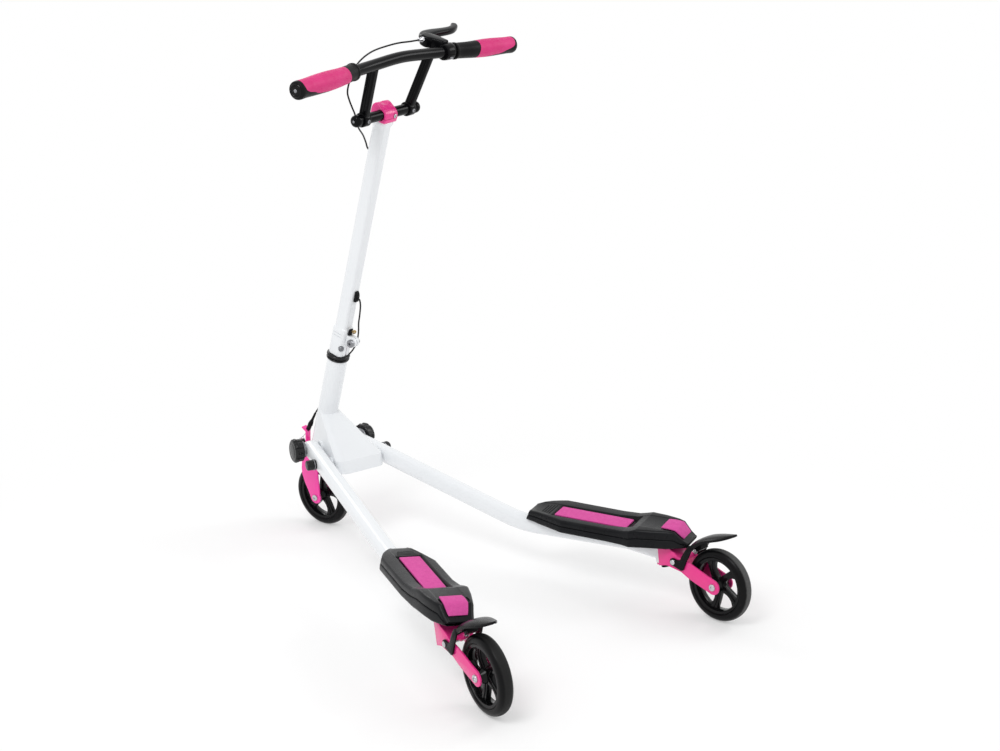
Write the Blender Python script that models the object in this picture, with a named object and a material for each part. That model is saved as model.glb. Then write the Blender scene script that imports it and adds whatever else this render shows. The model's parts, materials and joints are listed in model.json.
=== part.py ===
# Three-wheeled carving scooter: a steered front wheel, two folding arms with footplates, and two
# caster wheels with foot brakes. Metres, +Z up, +Y forward. The origin is on the floor, on the
# centre plane, halfway between the rear axle line and the front axle.
import math

import bmesh
import bpy
from mathutils import Matrix, Vector

# Overall sizes
WHEEL_RADIUS = 0.0625
WHEEL_BASE = 0.815
KINGPIN_HALF_TRACK = 0.2437
KINGPIN_FORWARD = 0.117
RAKE = math.radians(19.0)
FORK_OFFSET = -0.0278
BAR_HALF = 0.284
BAR_UP = 0.9735
COLUMN_TOP = 0.8572

# Pose at rest: the bar and both casters stand slightly turned
STEER_TURN = math.radians(14.1)
CASTER_TURN = {"left": math.radians(-10.2), "right": math.radians(3.2)}

# Gaps
SEAT_GAP = 0.0003
RUN_GAP = 0.0010

# Wheels
TYRE_HALF_WIDTH = 0.01175
TYRE_INNER = 0.0492
TREAD_RADIUS = 0.0120
RIM_INNER = 0.0432
RIM_HALF_WIDTH = 0.0098
HUB_RADIUS = 0.0125
HUB_HALF_WIDTH = 0.0148
AXLE_RADIUS = 0.0040
AXLE_HEAD_RADIUS = 0.0062
AXLE_HEAD_HEIGHT = 0.0030
SPOKES = 5
WHEEL_STEPS = 24
SPOKE_HALF_THICKNESS = 0.0060
SPOKE_SWEEP = math.radians(16)

# Fork and head tube, as heights up the steering axis and radii round it
BLADE_THICKNESS = 0.0040
FORK_INNER_HALF = 0.0205
CROWN_LOW = 0.1495
CROWN_TOP = 0.1690
CROWN_HALF_DEPTH = 0.0215
STEERER_RADIUS = 0.0130
HEAD_LOW = 0.1760
HEAD_TOP = 0.3744
HEAD_RADIUS = 0.01925
HEAD_BORE = 0.0163
NECK_UP = 0.2600
UPPER_BEARING_HEIGHT = 0.0120
COLLAR_RADIUS = 0.01975
COLLAR_HEIGHT = 0.0117

# Steering column
COLUMN_LOW = HEAD_TOP + COLLAR_HEIGHT + 2 * SEAT_GAP
COLUMN_WIDTH = 0.0250
COLUMN_DEPTH = 0.0270
COLUMN_CORNER = 0.0070
CLAMP_ZONE_WIDTH = 0.0320
CLAMP_ZONE_DEPTH = 0.0330
CLAMP_ZONE_CORNER = 0.0100
CLAMP_ZONE_TOP = 0.4440
SOCKET_TOP = 0.4365
SLOT_HEIGHTS = (0.4275, 0.4335)
SLOT_WIDTH = 0.0012
EAR_REACH = 0.0380
EAR_UP = 0.4235
EAR_HEIGHT = 0.0200
EAR_THICKNESS = 0.0060
EAR_SPLIT = 0.0020
EAR_BOLT_RADIUS = 0.0028
EAR_HEAD_RADIUS = 0.0075
BUTTON_UP = 0.4050
BUTTON_RADIUS = 0.0050
BUTTON_TRAVEL = 0.0016

# Handlebar
BAR_RADIUS = 0.0098
CROSSBAR_UP = 0.8698
CROSSBAR_BACK = -0.0046
CROSSBAR_HALF = 0.0740
CROSSBAR_RADIUS = 0.0094
CROSSBAR_END_RADIUS = 0.0106
CLAMP_HALF_WIDTH = 0.0170
STRUT_FOOT_X = 0.0605
STRUT_TOP_X = 0.0745
STRUT_WIDTH = 0.0120
STRUT_DEPTH = 0.0170
GRIP_START = 0.1330
GRIP_CAP = 0.0045
GRIP_WALL = 0.0024
GRIP_THICKNESS = 0.0052
GRIP_RADIUS = BAR_RADIUS + GRIP_THICKNESS
SLEEVE_START = {"left": 0.150, "right": 0.188}
SLEEVE_END = 0.274

# The bar's right half, in the steering frame: across, forward of the axis, up along it
BAR_ROUTE = (
    (0.000, -0.0140, BAR_UP + 0.0030), (0.075, -0.0165, BAR_UP), (0.1365, -0.0235, BAR_UP - 0.0005),
    (0.175, -0.0310, BAR_UP - 0.0003), (0.230, -0.0360, BAR_UP - 0.0010),
    (BAR_HALF, -0.0405, BAR_UP - 0.0020),
)

# Hand brake
PERCH_X = 0.1160
PERCH_WIDTH = 0.0200
LEVER_PIVOT = (0.1085, 0.0210)
LEVER_UP = 0.9820
LEVER_THICKNESS = 0.0090
ADJUSTER_RADIUS = 0.0045
CABLE_RADIUS = 0.0015
CABLE_PORT = (-0.0040, 0.7960)
CABLE_PORT_RADIUS = 0.0024
BRAKE_PIVOT = (0.0360, 0.1420)
FERRULE_SEAT = (0, 0.0385, 0.1895)
FERRULE_TOP = (0, 0.0281, 0.2339)
SHOE_GAP = 0.0020
ADJUSTER_SEAT = (0.0935, 0.0150, 0.9860)
ADJUSTER_END = (0.0790, 0.0157, 0.9857)

# The cable's points over the bar and into the column, then out at its back and down to the fork
UPPER_CABLE = (
    (0.0785, 0.0157, 0.9857), (0.0745, 0.0160, 0.9856), (0.0626, 0.0225, 0.9826),
    (0.0459, 0.0280, 0.9808), (0.0244, 0.0320, 0.9780), (-0.0119, 0.0340, 0.9731),
    (-0.0414, 0.0300, 0.9678), (-0.0667, 0.0240, 0.9594), (-0.0860, 0.0160, 0.9494),
    (-0.0973, 0.0100, 0.9375), (-0.0975, 0.0100, 0.9197), (-0.0890, 0.0100, 0.9041),
    (-0.0771, 0.0100, 0.8878), (-0.0643, 0.0115, 0.8725), (-0.0463, 0.0145, 0.8461),
    (-0.0231, 0.0190, 0.8253), (-0.0080, 0.0215, 0.8080), (CABLE_PORT[0], 0.0195, 0.7985),
    (CABLE_PORT[0], 0.0150, CABLE_PORT[1]), (CABLE_PORT[0], 0.0095, CABLE_PORT[1]),
)
LOWER_CABLE = (
    (0.0000, -0.0216, 0.5110), (0.0000, -0.0246, 0.5106), (0.0008, -0.0282, 0.5000),
    (0.0020, -0.0297, 0.4800), (0.0030, -0.0300, 0.4640), (0.0085, -0.0290, 0.4460),
    (0.0140, -0.0265, 0.4280), (0.0180, -0.0225, 0.4100), (0.0215, -0.0150, 0.3920),
    (0.0230, -0.0065, 0.3760), (0.0232, 0.0020, 0.3560), (0.0215, 0.0095, 0.3330),
    (0.0180, 0.0150, 0.3050), (0.0135, 0.0195, 0.2780), (0.0080, 0.0235, 0.2560),
    (0.0020, 0.0266, 0.2410), (0.0000, 0.0279, 0.2345),
)

# Arms: the pivot on each side, the bend, and the tube
PIVOT_HALF = 0.0494
PIVOT_BACK = 0.0473
PIVOT_UP = 0.1790
ARM_SPLAY = math.radians(14.0)
ARM_DROP = 0.0875
ARM_REAR_RISE = 0.0070
BEND_FORWARD = 0.3828
ARM_WIDTH = 0.0290
ARM_HEIGHT = 0.0310
ARM_NOSE = 0.0155
ARM_END_WIDTH = 0.0220
ARM_END_HEIGHT = 0.0240
BEND_REACH = 0.0350
PIVOT_BOLT_RADIUS = 0.0050
PIVOT_BOLT_DEPTH = 0.0325
SPACER_RADIUS = 0.0155
SPACER_OUTER = 0.0205
KNOB_RADIUS = 0.0230
KNOB_OUTER = 0.0395
KNOB_FLUTES = 8
INDEX_BACK = 0.0580
INDEX_PIN_RADIUS = 0.0035
INDEX_RING_RADIUS = 0.0100
INDEX_KNOB_RADIUS = 0.0097
INDEX_KNOB_OUTER = 0.0320
BOSS_RADIUS = 0.0130
INDEX_BOSS_RADIUS = 0.0090
BODY_REAR_BACK = 0.1430
BODY_REAR_HALF = 0.0515
BODY_REAR_TOP = 0.1740
BODY_REAR_LOW = 0.1510

# Footplates, in their own frame: x outward, y forward, z up from the middle of the main pad
PLATE_FORWARD = 0.2453
PLATE_UP = 0.1273
PLATE_INSET = 0.0037
PLATE_BANK = math.radians(5.0)
PLATE_WALL = 0.0035
PLATE_ROOF = 0.0055
PAD_LENGTH = 0.1390
PAD_WIDTH = 0.0360
PAD_THICKNESS = 0.0030
DISH_MARGIN = 0.0035
HEEL_PAD_HALF = 0.0185
HEEL_PAD_FRONT = 0.1360
HEEL_FOLD = 0.1620
HEEL_PAD_REAR = 0.1760
HEEL_PAD_THICKNESS = 0.0022

# The footplate's outlines from front to rear: run behind the pad's middle, then half width or height
INNER_EDGE = ((-0.121, 0.018), (-0.085, 0.029), (-0.048, 0.041), (0.064, 0.041), (0.087, 0.047),
              (0.125, 0.040), (0.163, 0.030), (0.185, 0.024))
OUTER_EDGE = ((-0.121, 0.022), (-0.100, 0.038), (-0.073, 0.049), (0.040, 0.047), (0.095, 0.042),
              (0.136, 0.038), (0.157, 0.031), (0.185, 0.022))
RIM_HEIGHT = ((-0.121, -0.0020), (-0.110, 0.0005), (-0.085, 0.0018), (0.060, 0.0026), (0.078, 0.0070),
              (0.098, 0.0132), (0.150, 0.0142), (HEEL_FOLD, 0.0132), (0.176, -0.0005), (0.185, -0.0060))
SKIRT_LOW = ((-0.121, -0.0200), (-0.100, -0.0215), (0.090, -0.0215), (0.110, -0.0185),
             (0.150, -0.0185), (0.170, -0.0160), (0.185, -0.0130))
PLATE_STATIONS = (-0.121, -0.110, -0.098, -0.085, -0.0735, -0.048, 0.040, 0.0735, 0.0850, 0.098,
                  0.125, 0.150, HEEL_FOLD, 0.176, 0.185)
PAD_SEAT = -PAD_THICKNESS * 0.6

# Casters, measured from the wheel centre: s forward, z above the floor
KINGPIN_TILT = math.radians(17.7)
SLEEVE_RADIUS = 0.0155
SLEEVE_LOW = 0.0085
SLEEVE_TOP = 0.0435
KINGPIN_RADIUS = 0.0050
KINGPIN_HEAD_RADIUS = 0.0085
KINGPIN_HEAD_HEIGHT = 0.0035
KINGPIN_NUT_HEIGHT = 0.0070
YOKE_THICKNESS = 0.0032
YOKE_INNER_HALF = 0.0166
YOKE_PLATE = 0.0032
YOKE_CLEAR = 0.0340
KINGPIN_HEAD_TOP = SLEEVE_TOP + SEAT_GAP + YOKE_PLATE + SEAT_GAP + KINGPIN_HEAD_HEIGHT
FENDER_PIVOT = (0.0840, 0.0845)
FENDER_LEG = 0.0030
FENDER_PIN_RADIUS = 0.0028
REAR_SHOE_GAP = 0.0030
SPRING_FOOT = (0.05665, 0.1030)
SPRING_HEAD = (0.0508, 0.1126)
SPRING_RADIUS = 0.0030
SPRING_WIRE = 0.0006
SPRING_TURNS = 4
SPRING_PITCH = 0.0018
SPRING_STEPS = 9

# Places that follow from the sizes above
PIVOT = (PIVOT_HALF, WHEEL_BASE - PIVOT_BACK, PIVOT_UP)
ARM_RUN = (PIVOT[1] - BEND_FORWARD) / math.cos(ARM_SPLAY)
ARM_SLOPE = math.atan(ARM_DROP / ARM_RUN)
BEND_X = PIVOT_HALF + (PIVOT[1] - BEND_FORWARD) * math.tan(ARM_SPLAY)
REAR_SLANT = (KINGPIN_HALF_TRACK - BEND_X) / (BEND_FORWARD - KINGPIN_FORWARD)
PLATE_SPLAY = math.atan(REAR_SLANT)
PLATE_AT = (
    BEND_X + (BEND_FORWARD - PLATE_FORWARD) * REAR_SLANT - PLATE_INSET, PLATE_FORWARD, PLATE_UP
)
BODY_REAR_Y = WHEEL_BASE - BODY_REAR_BACK
INDEX_PLACE = {"y": -INDEX_BACK, "z": -INDEX_BACK * math.tan(ARM_SLOPE)}
SLEEVE_MIDDLE = (
    WHEEL_RADIUS + (SLEEVE_LOW + SLEEVE_TOP) / 2 * math.cos(KINGPIN_TILT) - PIVOT[2]
)

for stale in list(bpy.data.objects):
    bpy.data.objects.remove(stale, do_unlink=True)


# Materials
def material(name, colour, roughness, metallic=0.0):
    made = bpy.data.materials.new(name)
    made.use_nodes = True
    shader = made.node_tree.nodes["Principled BSDF"]
    shader.inputs["Base Color"].default_value = (*colour, 1.0)
    shader.inputs["Roughness"].default_value = roughness
    shader.inputs["Metallic"].default_value = metallic
    return made


WHITE_PAINT = material("white_paint", (0.80, 0.82, 0.84), 0.25)
PINK_PAINT = material("pink_paint", (0.80, 0.04, 0.25), 0.30)
PINK_GRIP = material("pink_grip", (0.70, 0.06, 0.22), 0.60)
PINK_PAD = material("pink_pad", (0.66, 0.10, 0.33), 0.70)
BLACK_PAINT = material("black_paint", (0.015, 0.015, 0.017), 0.22)
BLACK_PLASTIC = material("black_plastic", (0.03, 0.03, 0.033), 0.45)
BLACK_RUBBER = material("black_rubber", (0.02, 0.02, 0.021), 0.65)
PLATE_PLASTIC = material("plate_plastic", (0.045, 0.047, 0.050), 0.50)
TYRE_BLACK = material("tyre_black", (0.025, 0.025, 0.027), 0.40)
BRIGHT_STEEL = material("bright_steel", (0.62, 0.62, 0.63), 0.25, 1.0)
GREY_STEEL = material("grey_steel", (0.40, 0.41, 0.43), 0.40, 1.0)


# Scene helpers
def empty(name, parent=None, location=(0, 0, 0), rotation=(0, 0, 0)):
    made = bpy.data.objects.new(name, None)
    made.empty_display_size = 0.02
    bpy.context.scene.collection.objects.link(made)
    made.parent = parent
    made.location = location
    made.rotation_euler = rotation
    return made


def new_object(name, shape, parent):
    mesh = bpy.data.meshes.new(name)
    shape.to_mesh(mesh)
    shape.free()
    made = bpy.data.objects.new(name, mesh)
    bpy.context.scene.collection.objects.link(made)
    made.parent = parent
    return made


def piece(name, shape, parent, look, sharp=35):
    """A named part of the scooter, shaded smooth except at its sharp edges."""
    made = new_object(name, shape, parent)
    made.data.materials.append(look)
    made.data.shade_smooth()
    made.data.set_sharp_from_angle(angle=math.radians(sharp))
    return made


def helper(name, shape, parent):
    """A solid that only cuts or joins another."""
    made = new_object(name, shape, parent)
    made.hide_render = True
    made.display_type = "WIRE"
    return made


def combine(target, operation, tool):
    step = target.modifiers.new(f"{operation.lower()}_{tool.name}", "BOOLEAN")
    step.operation = operation
    step.object = tool


def soften(target, width, segments=2, angle=35):
    step = target.modifiers.new("soften", "BEVEL")
    step.width = width
    step.segments = segments
    step.limit_method = "ANGLE"
    step.angle_limit = math.radians(angle)


# Shape helpers
def facing_out(shape):
    bmesh.ops.recalc_face_normals(shape, faces=shape.faces[:])
    return shape


def turned(profile, steps=16, ring=False):
    """A profile of (radius, height) points turned about Z. A ring's profile is a closed loop."""
    shape = bmesh.new()
    points = [shape.verts.new((radius, 0.0, height)) for radius, height in profile]
    pairs = list(zip(points, points[1:]))
    if ring:
        pairs.append((points[-1], points[0]))
    edges = [shape.edges.new(pair) for pair in pairs]
    bmesh.ops.spin(
        shape, geom=points + edges, axis=(0, 0, 1), cent=(0, 0, 0), steps=steps,
        angle=2 * math.pi, use_merge=True,
    )
    bmesh.ops.remove_doubles(shape, verts=shape.verts[:], dist=1e-6)
    return facing_out(shape)


def rod(radius, low, high, steps=12):
    circle = arc((0, 0), radius, 5, 365 - 360 / steps, steps - 1)
    return prism(circle, low, high)


def pipe(inner, outer, low, high, steps=16):
    return turned([(inner, low), (outer, low), (outer, high), (inner, high)], steps, ring=True)


def prism(outline, low, high):
    """An outline in X and Y, extruded along Z."""
    shape = bmesh.new()
    face = shape.faces.new([shape.verts.new((x, y, low)) for x, y in outline])
    grown = bmesh.ops.extrude_face_region(shape, geom=[face])["geom"]
    top = [part for part in grown if isinstance(part, bmesh.types.BMVert)]
    bmesh.ops.translate(shape, verts=top, vec=(0, 0, high - low))
    return facing_out(shape)


def side_prism(outline, low, high):
    """An outline in Y and Z, extruded along X."""
    shape = prism(outline, low, high)
    return moved(shape, Matrix(((0, 0, 1, 0), (1, 0, 0, 0), (0, 1, 0, 0), (0, 0, 0, 1))))


def loft(rings):
    """A skin through rings of equal point counts, with flat ends."""
    shape = bmesh.new()
    loops = [[shape.verts.new(point) for point in ring] for ring in rings]
    for near, far in zip(loops, loops[1:]):
        for index in range(len(near)):
            shape.faces.new((near[index - 1], near[index], far[index], far[index - 1]))
    shape.faces.new(loops[0])
    shape.faces.new(loops[-1])
    return facing_out(shape)


def moved(shape, matrix):
    bmesh.ops.transform(shape, matrix=matrix, verts=shape.verts[:])
    if matrix.to_3x3().determinant() < 0:
        bmesh.ops.reverse_faces(shape, faces=shape.faces[:])
    return shape


def shifted(shape, x=0.0, y=0.0, z=0.0):
    return moved(shape, Matrix.Translation((x, y, z)))


def handed(shape, side):
    """The right-hand shape as it is, or its mirror image for the left."""
    return shape if side == "right" else moved(shape, Matrix.Scale(-1, 4, (1, 0, 0)))


def along_x(shape):
    """Turns a shape made along Z so that it runs along +X."""
    return moved(shape, Matrix.Rotation(math.radians(90), 4, "Y"))


def along_y(shape):
    """Turns a shape made along Z so that it runs along +Y."""
    return moved(shape, Matrix.Rotation(math.radians(-90), 4, "X"))


def between(shape, start, end):
    """Stands a shape made along Z at start, pointing at end."""
    direction = Vector(end) - Vector(start)
    turn = direction.to_track_quat("Z", "Y").to_matrix().to_4x4()
    return moved(shape, Matrix.Translation(start) @ turn)


def arc(centre, radius, start, end, steps):
    """Points round a centre, with the angles in degrees."""
    angles = [math.radians(start + (end - start) * step / steps) for step in range(steps + 1)]
    return [(centre[0] + radius * math.cos(a), centre[1] + radius * math.sin(a)) for a in angles]


def rounded_rectangle(width, depth, corner, steps=2):
    points = []
    corners = ((1, 1, 0), (-1, 1, 90), (-1, -1, 180), (1, -1, 270))
    for across, along, start in corners:
        centre = (across * (width / 2 - corner), along * (depth / 2 - corner))
        points += arc(centre, corner, start, start + 90, steps)
    return points


def soft_section(width, height, points=12, power=0.78):
    """A tube section between a circle and a rectangle, with soft ridges along its corners."""
    section = []
    for index in range(points):
        angle = 2 * math.pi * (index + 0.5) / points
        across, up = math.cos(angle), math.sin(angle)
        section.append((
            width / 2 * math.copysign(abs(across) ** power, across),
            height / 2 * math.copysign(abs(up) ** power, up),
        ))
    return section


def smooth_path(points, steps):
    """Points along a smooth curve through the given ones, spaced evenly between each two."""
    points = [Vector(point) for point in points]
    ends = [2 * points[0] - points[1], *points, 2 * points[-1] - points[-2]]
    path = []
    for index in range(len(points) - 1):
        before, start, end, after = ends[index:index + 4]
        for step in range(steps):
            t = step / steps
            path.append(0.5 * (
                2 * start + (end - before) * t + (2 * before - 5 * start + 4 * end - after) * t * t
                + (3 * start - before - 3 * end + after) * t * t * t
            ))
    path.append(points[-1])
    return path


def spaced(path, gap):
    """The same route with a point about every gap, both ends kept."""
    lengths = [0.0]
    for start, end in zip(path, path[1:]):
        lengths.append(lengths[-1] + (end - start).length)
    count = max(2, round(lengths[-1] / gap))
    out = []
    index = 0
    for step in range(count + 1):
        target = lengths[-1] * step / count
        while index < len(path) - 2 and lengths[index + 1] < target:
            index += 1
        span = lengths[index + 1] - lengths[index]
        out.append(path[index].lerp(path[index + 1], (target - lengths[index]) / span))
    return out


def sweep(path, section_at, up=(0, 0, 1)):
    """A solid along a path. section_at gives the (across, up) points of each step's section."""
    path = [Vector(point) for point in path]
    rings = []
    for index, point in enumerate(path):
        before = path[max(0, index - 1)]
        after = path[min(len(path) - 1, index + 1)]
        heading = (after - before).normalized()
        across = heading.cross(Vector(up)).normalized()
        above = across.cross(heading)
        rings.append([point + across * a + above * u for a, u in section_at(index)])
    return loft(rings)


def interpolate(table, at):
    """Reads a value from (place, value) pairs in rising order."""
    if at <= table[0][0]:
        return table[0][1]
    for (near, low), (far, high) in zip(table, table[1:]):
        if at <= far:
            return low + (high - low) * (at - near) / (far - near)
    return table[-1][1]


# Frames: every moving body hangs from an empty on its joint's axis
FLOOR_DATUM = empty("rear_axle_line", location=(0, -WHEEL_BASE / 2, 0))
SIDE_LEAN = math.sin(STEER_TURN) * math.sin(RAKE)
FRONT_AXLE_HEIGHT = (WHEEL_RADIUS - TREAD_RADIUS) * math.sqrt(1 - SIDE_LEAN ** 2) + TREAD_RADIUS
AXLE_UP = (
    FRONT_AXLE_HEIGHT - FORK_OFFSET * math.cos(STEER_TURN) * math.sin(RAKE)
) / math.cos(RAKE)
AXIS_FOOT = WHEEL_BASE + AXLE_UP * math.sin(RAKE) - FORK_OFFSET * math.cos(RAKE)
HEAD_AXIS = empty("head_axis", FLOOR_DATUM, (0, AXIS_FOOT, 0), (RAKE, 0, 0))
STEERING = empty("steering_axis", HEAD_AXIS, rotation=(0, 0, STEER_TURN))

SIDE_SIGN = {"left": -1, "right": 1}
PIVOT_FRAME = {}
PLATE_FRAME = {}
KINGPIN_FRAME = {}
CASTER_FRAME = {}
for side, sign in SIDE_SIGN.items():
    PIVOT_FRAME[side] = empty(
        f"arm_pivot_{side}", FLOOR_DATUM, (sign * PIVOT[0], PIVOT[1], PIVOT[2]),
        (0, 0, sign * ARM_SPLAY),
    )
    PLATE_FRAME[side] = empty(
        f"plate_frame_{side}", FLOOR_DATUM, (sign * PLATE_AT[0], PLATE_AT[1], PLATE_AT[2]),
        (0, -sign * PLATE_BANK, sign * PLATE_SPLAY),
    )
    KINGPIN_FRAME[side] = empty(
        f"kingpin_axis_{side}", FLOOR_DATUM,
        (sign * KINGPIN_HALF_TRACK, KINGPIN_FORWARD, WHEEL_RADIUS), (-KINGPIN_TILT, 0, 0),
    )
    CASTER_FRAME[side] = empty(
        f"caster_{side}", KINGPIN_FRAME[side], rotation=(0, 0, CASTER_TURN[side])
    )


def tilted(s, z):
    """A caster point, s ahead of the wheel centre and z above the floor, in the kingpin's frame."""
    ahead = s - KINGPIN_FORWARD
    above = z - WHEEL_RADIUS
    return (
        ahead * math.cos(KINGPIN_TILT) - above * math.sin(KINGPIN_TILT),
        ahead * math.sin(KINGPIN_TILT) + above * math.cos(KINGPIN_TILT),
    )


# Main frame: head tube, neck and body, with the bosses that the arms turn on
def frame_point(across, back, up):
    """A point of the head tube's frame, seen from the rear axle line."""
    return (
        across,
        AXIS_FOOT - up * math.sin(RAKE) + back * math.cos(RAKE),
        up * math.cos(RAKE) + back * math.sin(RAKE),
    )


def main_frame():
    shape = bmesh.new()
    hull_radius = HEAD_RADIUS - SEAT_GAP
    for up in (HEAD_LOW + 0.002, NECK_UP):
        for x, y in arc((0, 0), hull_radius, 0, 330, 11):
            shape.verts.new(frame_point(x, y, up))
    for sign in (-1, 1):
        shape.verts.new((sign * BODY_REAR_HALF, BODY_REAR_Y, BODY_REAR_TOP))
        shape.verts.new((sign * BODY_REAR_HALF * 0.97, BODY_REAR_Y - 0.006, BODY_REAR_LOW))
    bmesh.ops.convex_hull(shape, input=shape.verts[:])
    frame = piece("main_frame", facing_out(shape), FLOOR_DATUM, WHITE_PAINT)
    soften(frame, 0.0055, 2)

    tube = helper("head_tube", rod(HEAD_RADIUS, HEAD_LOW, HEAD_TOP, 20), HEAD_AXIS)
    combine(frame, "UNION", tube)
    for side in SIDE_SIGN:
        boss = along_x(rod(BOSS_RADIUS, -PIVOT_BOLT_DEPTH - 0.002, -ARM_WIDTH / 2 - SEAT_GAP, 14))
        boss = helper(f"pivot_boss_{side}", handed(boss, side), PIVOT_FRAME[side])
        combine(frame, "UNION", boss)
        stop = along_x(rod(INDEX_BOSS_RADIUS, -0.026, -ARM_WIDTH / 2 - SEAT_GAP, 12))
        stop = shifted(stop, y=-INDEX_BACK, z=-INDEX_BACK * math.tan(ARM_SLOPE))
        stop = helper(f"index_boss_{side}", handed(stop, side), PIVOT_FRAME[side])
        combine(frame, "UNION", stop)
        hole = along_x(rod(PIVOT_BOLT_RADIUS + SEAT_GAP, -PIVOT_BOLT_DEPTH - SEAT_GAP, 0.01))
        hole = helper(f"pivot_hole_{side}", handed(hole, side), PIVOT_FRAME[side])
        combine(frame, "DIFFERENCE", hole)
    bore = helper("steerer_bore", rod(HEAD_BORE, HEAD_LOW - 0.02, HEAD_TOP + 0.02, 16), HEAD_AXIS)
    combine(frame, "DIFFERENCE", bore)


def headset():
    top = HEAD_TOP
    piece(
        "headset_bearing_upper",
        pipe(STEERER_RADIUS + SEAT_GAP, HEAD_BORE - SEAT_GAP, top - UPPER_BEARING_HEIGHT, top),
        HEAD_AXIS, GREY_STEEL,
    )
    piece(
        "headset_bearing_lower",
        turned([
            (STEERER_RADIUS + SEAT_GAP, CROWN_TOP + SEAT_GAP),
            (HEAD_RADIUS - 0.0030, CROWN_TOP + SEAT_GAP),
            (HEAD_RADIUS - 0.0008, CROWN_TOP + 0.0025),
            (HEAD_RADIUS - 0.0008, HEAD_LOW - SEAT_GAP),
            (STEERER_RADIUS + SEAT_GAP, HEAD_LOW - SEAT_GAP),
        ], ring=True),
        HEAD_AXIS, BLACK_PLASTIC,
    )
    low = HEAD_TOP + SEAT_GAP
    high = low + COLLAR_HEIGHT
    piece(
        "headset_collar",
        turned([
            (STEERER_RADIUS + SEAT_GAP, low),
            (COLLAR_RADIUS, low),
            (COLLAR_RADIUS, low + 0.0034),
            (COLLAR_RADIUS - 0.0009, low + 0.0040),
            (COLLAR_RADIUS - 0.0009, high - 0.0036),
            (COLLAR_RADIUS, high - 0.0028),
            (COLLAR_RADIUS - 0.0014, high),
            (STEERER_RADIUS + SEAT_GAP, high),
        ], 16, ring=True),
        STEERING, BLACK_PLASTIC,
    )


# Steering column: a rounded rectangular tube that grips the steerer at its foot
def button_seat():
    """Where the round button leaves the clamp zone's rear left corner, and its direction."""
    corner = Vector((-CLAMP_ZONE_WIDTH / 2, -CLAMP_ZONE_DEPTH / 2, 0.0))
    outward = Vector((-1, -1, 0)).normalized()
    inset = CLAMP_ZONE_CORNER * (math.sqrt(2) - 1)
    return corner - outward * inset + Vector((0, 0, BUTTON_UP)), outward


def column_ring(width, depth, corner, up):
    return [(x, y, up) for x, y in rounded_rectangle(width, depth, corner)]


def steering_column():
    wide = (CLAMP_ZONE_WIDTH, CLAMP_ZONE_DEPTH, CLAMP_ZONE_CORNER)
    plain = (COLUMN_WIDTH, COLUMN_DEPTH, COLUMN_CORNER)
    lip = (COLUMN_WIDTH + 0.0060, COLUMN_DEPTH + 0.0045, COLUMN_CORNER + 0.001)
    column = piece(
        "steering_column",
        loft([
            column_ring(*wide, COLUMN_LOW),
            column_ring(*wide, CLAMP_ZONE_TOP - 0.004),
            column_ring(*[size - 0.0020 for size in wide], CLAMP_ZONE_TOP - 0.001),
            column_ring(*plain, CLAMP_ZONE_TOP + 0.002),
            column_ring(*plain, COLUMN_TOP - 0.012),
            column_ring(*lip, COLUMN_TOP - 0.003),
            column_ring(*lip, COLUMN_TOP),
        ]),
        STEERING, WHITE_PAINT,
    )
    back = -EAR_REACH
    ears = prism([(-EAR_THICKNESS - EAR_SPLIT / 2, -0.012), (-EAR_THICKNESS - EAR_SPLIT / 2, back),
                  (EAR_THICKNESS + EAR_SPLIT / 2, back), (EAR_THICKNESS + EAR_SPLIT / 2, -0.012)],
                 EAR_UP - EAR_HEIGHT / 2, EAR_UP + EAR_HEIGHT / 2)
    ears = helper("clamp_ears", ears, STEERING)
    soften(ears, 0.004, 2)
    combine(column, "UNION", ears)
    bore = helper(
        "steerer_socket", rod(STEERER_RADIUS + SEAT_GAP, COLUMN_LOW - 0.01, SOCKET_TOP, 16), STEERING
    )
    combine(column, "DIFFERENCE", bore)
    half = EAR_SPLIT / 2
    split = prism([(-half, -EAR_REACH - 0.01), (half, -EAR_REACH - 0.01), (half, -0.008),
                   (-half, -0.008)], COLUMN_LOW - 0.01, CLAMP_ZONE_TOP - 0.004)
    combine(column, "DIFFERENCE", helper("clamp_split", split, STEERING))
    for number, up in enumerate(SLOT_HEIGHTS):
        slot = prism([(-0.03, -0.011), (-0.0148, -0.011), (-0.0148, 0.011), (-0.03, 0.011)],
                     up - SLOT_WIDTH / 2, up + SLOT_WIDTH / 2)
        combine(column, "DIFFERENCE", helper(f"clamp_slot_{number}", slot, STEERING))
    hole = along_x(rod(EAR_BOLT_RADIUS + SEAT_GAP, -0.02, 0.02, 10))
    hole = shifted(hole, y=-EAR_REACH + 0.0075, z=EAR_UP)
    combine(column, "DIFFERENCE", helper("ear_bolt_hole", hole, STEERING))
    seat, outward = button_seat()
    pocket = rod(BUTTON_RADIUS + RUN_GAP / 2, -2 * BUTTON_TRAVEL - SEAT_GAP, 0.01, 14)
    pocket = between(pocket, seat, seat + outward)
    combine(column, "DIFFERENCE", helper("button_pocket", pocket, STEERING))
    port = shifted(along_y(rod(CABLE_PORT_RADIUS, 0.0085, 0.0200, 10)), x=CABLE_PORT[0], z=CABLE_PORT[1])
    combine(column, "DIFFERENCE", helper("cable_port", port, STEERING))


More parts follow.
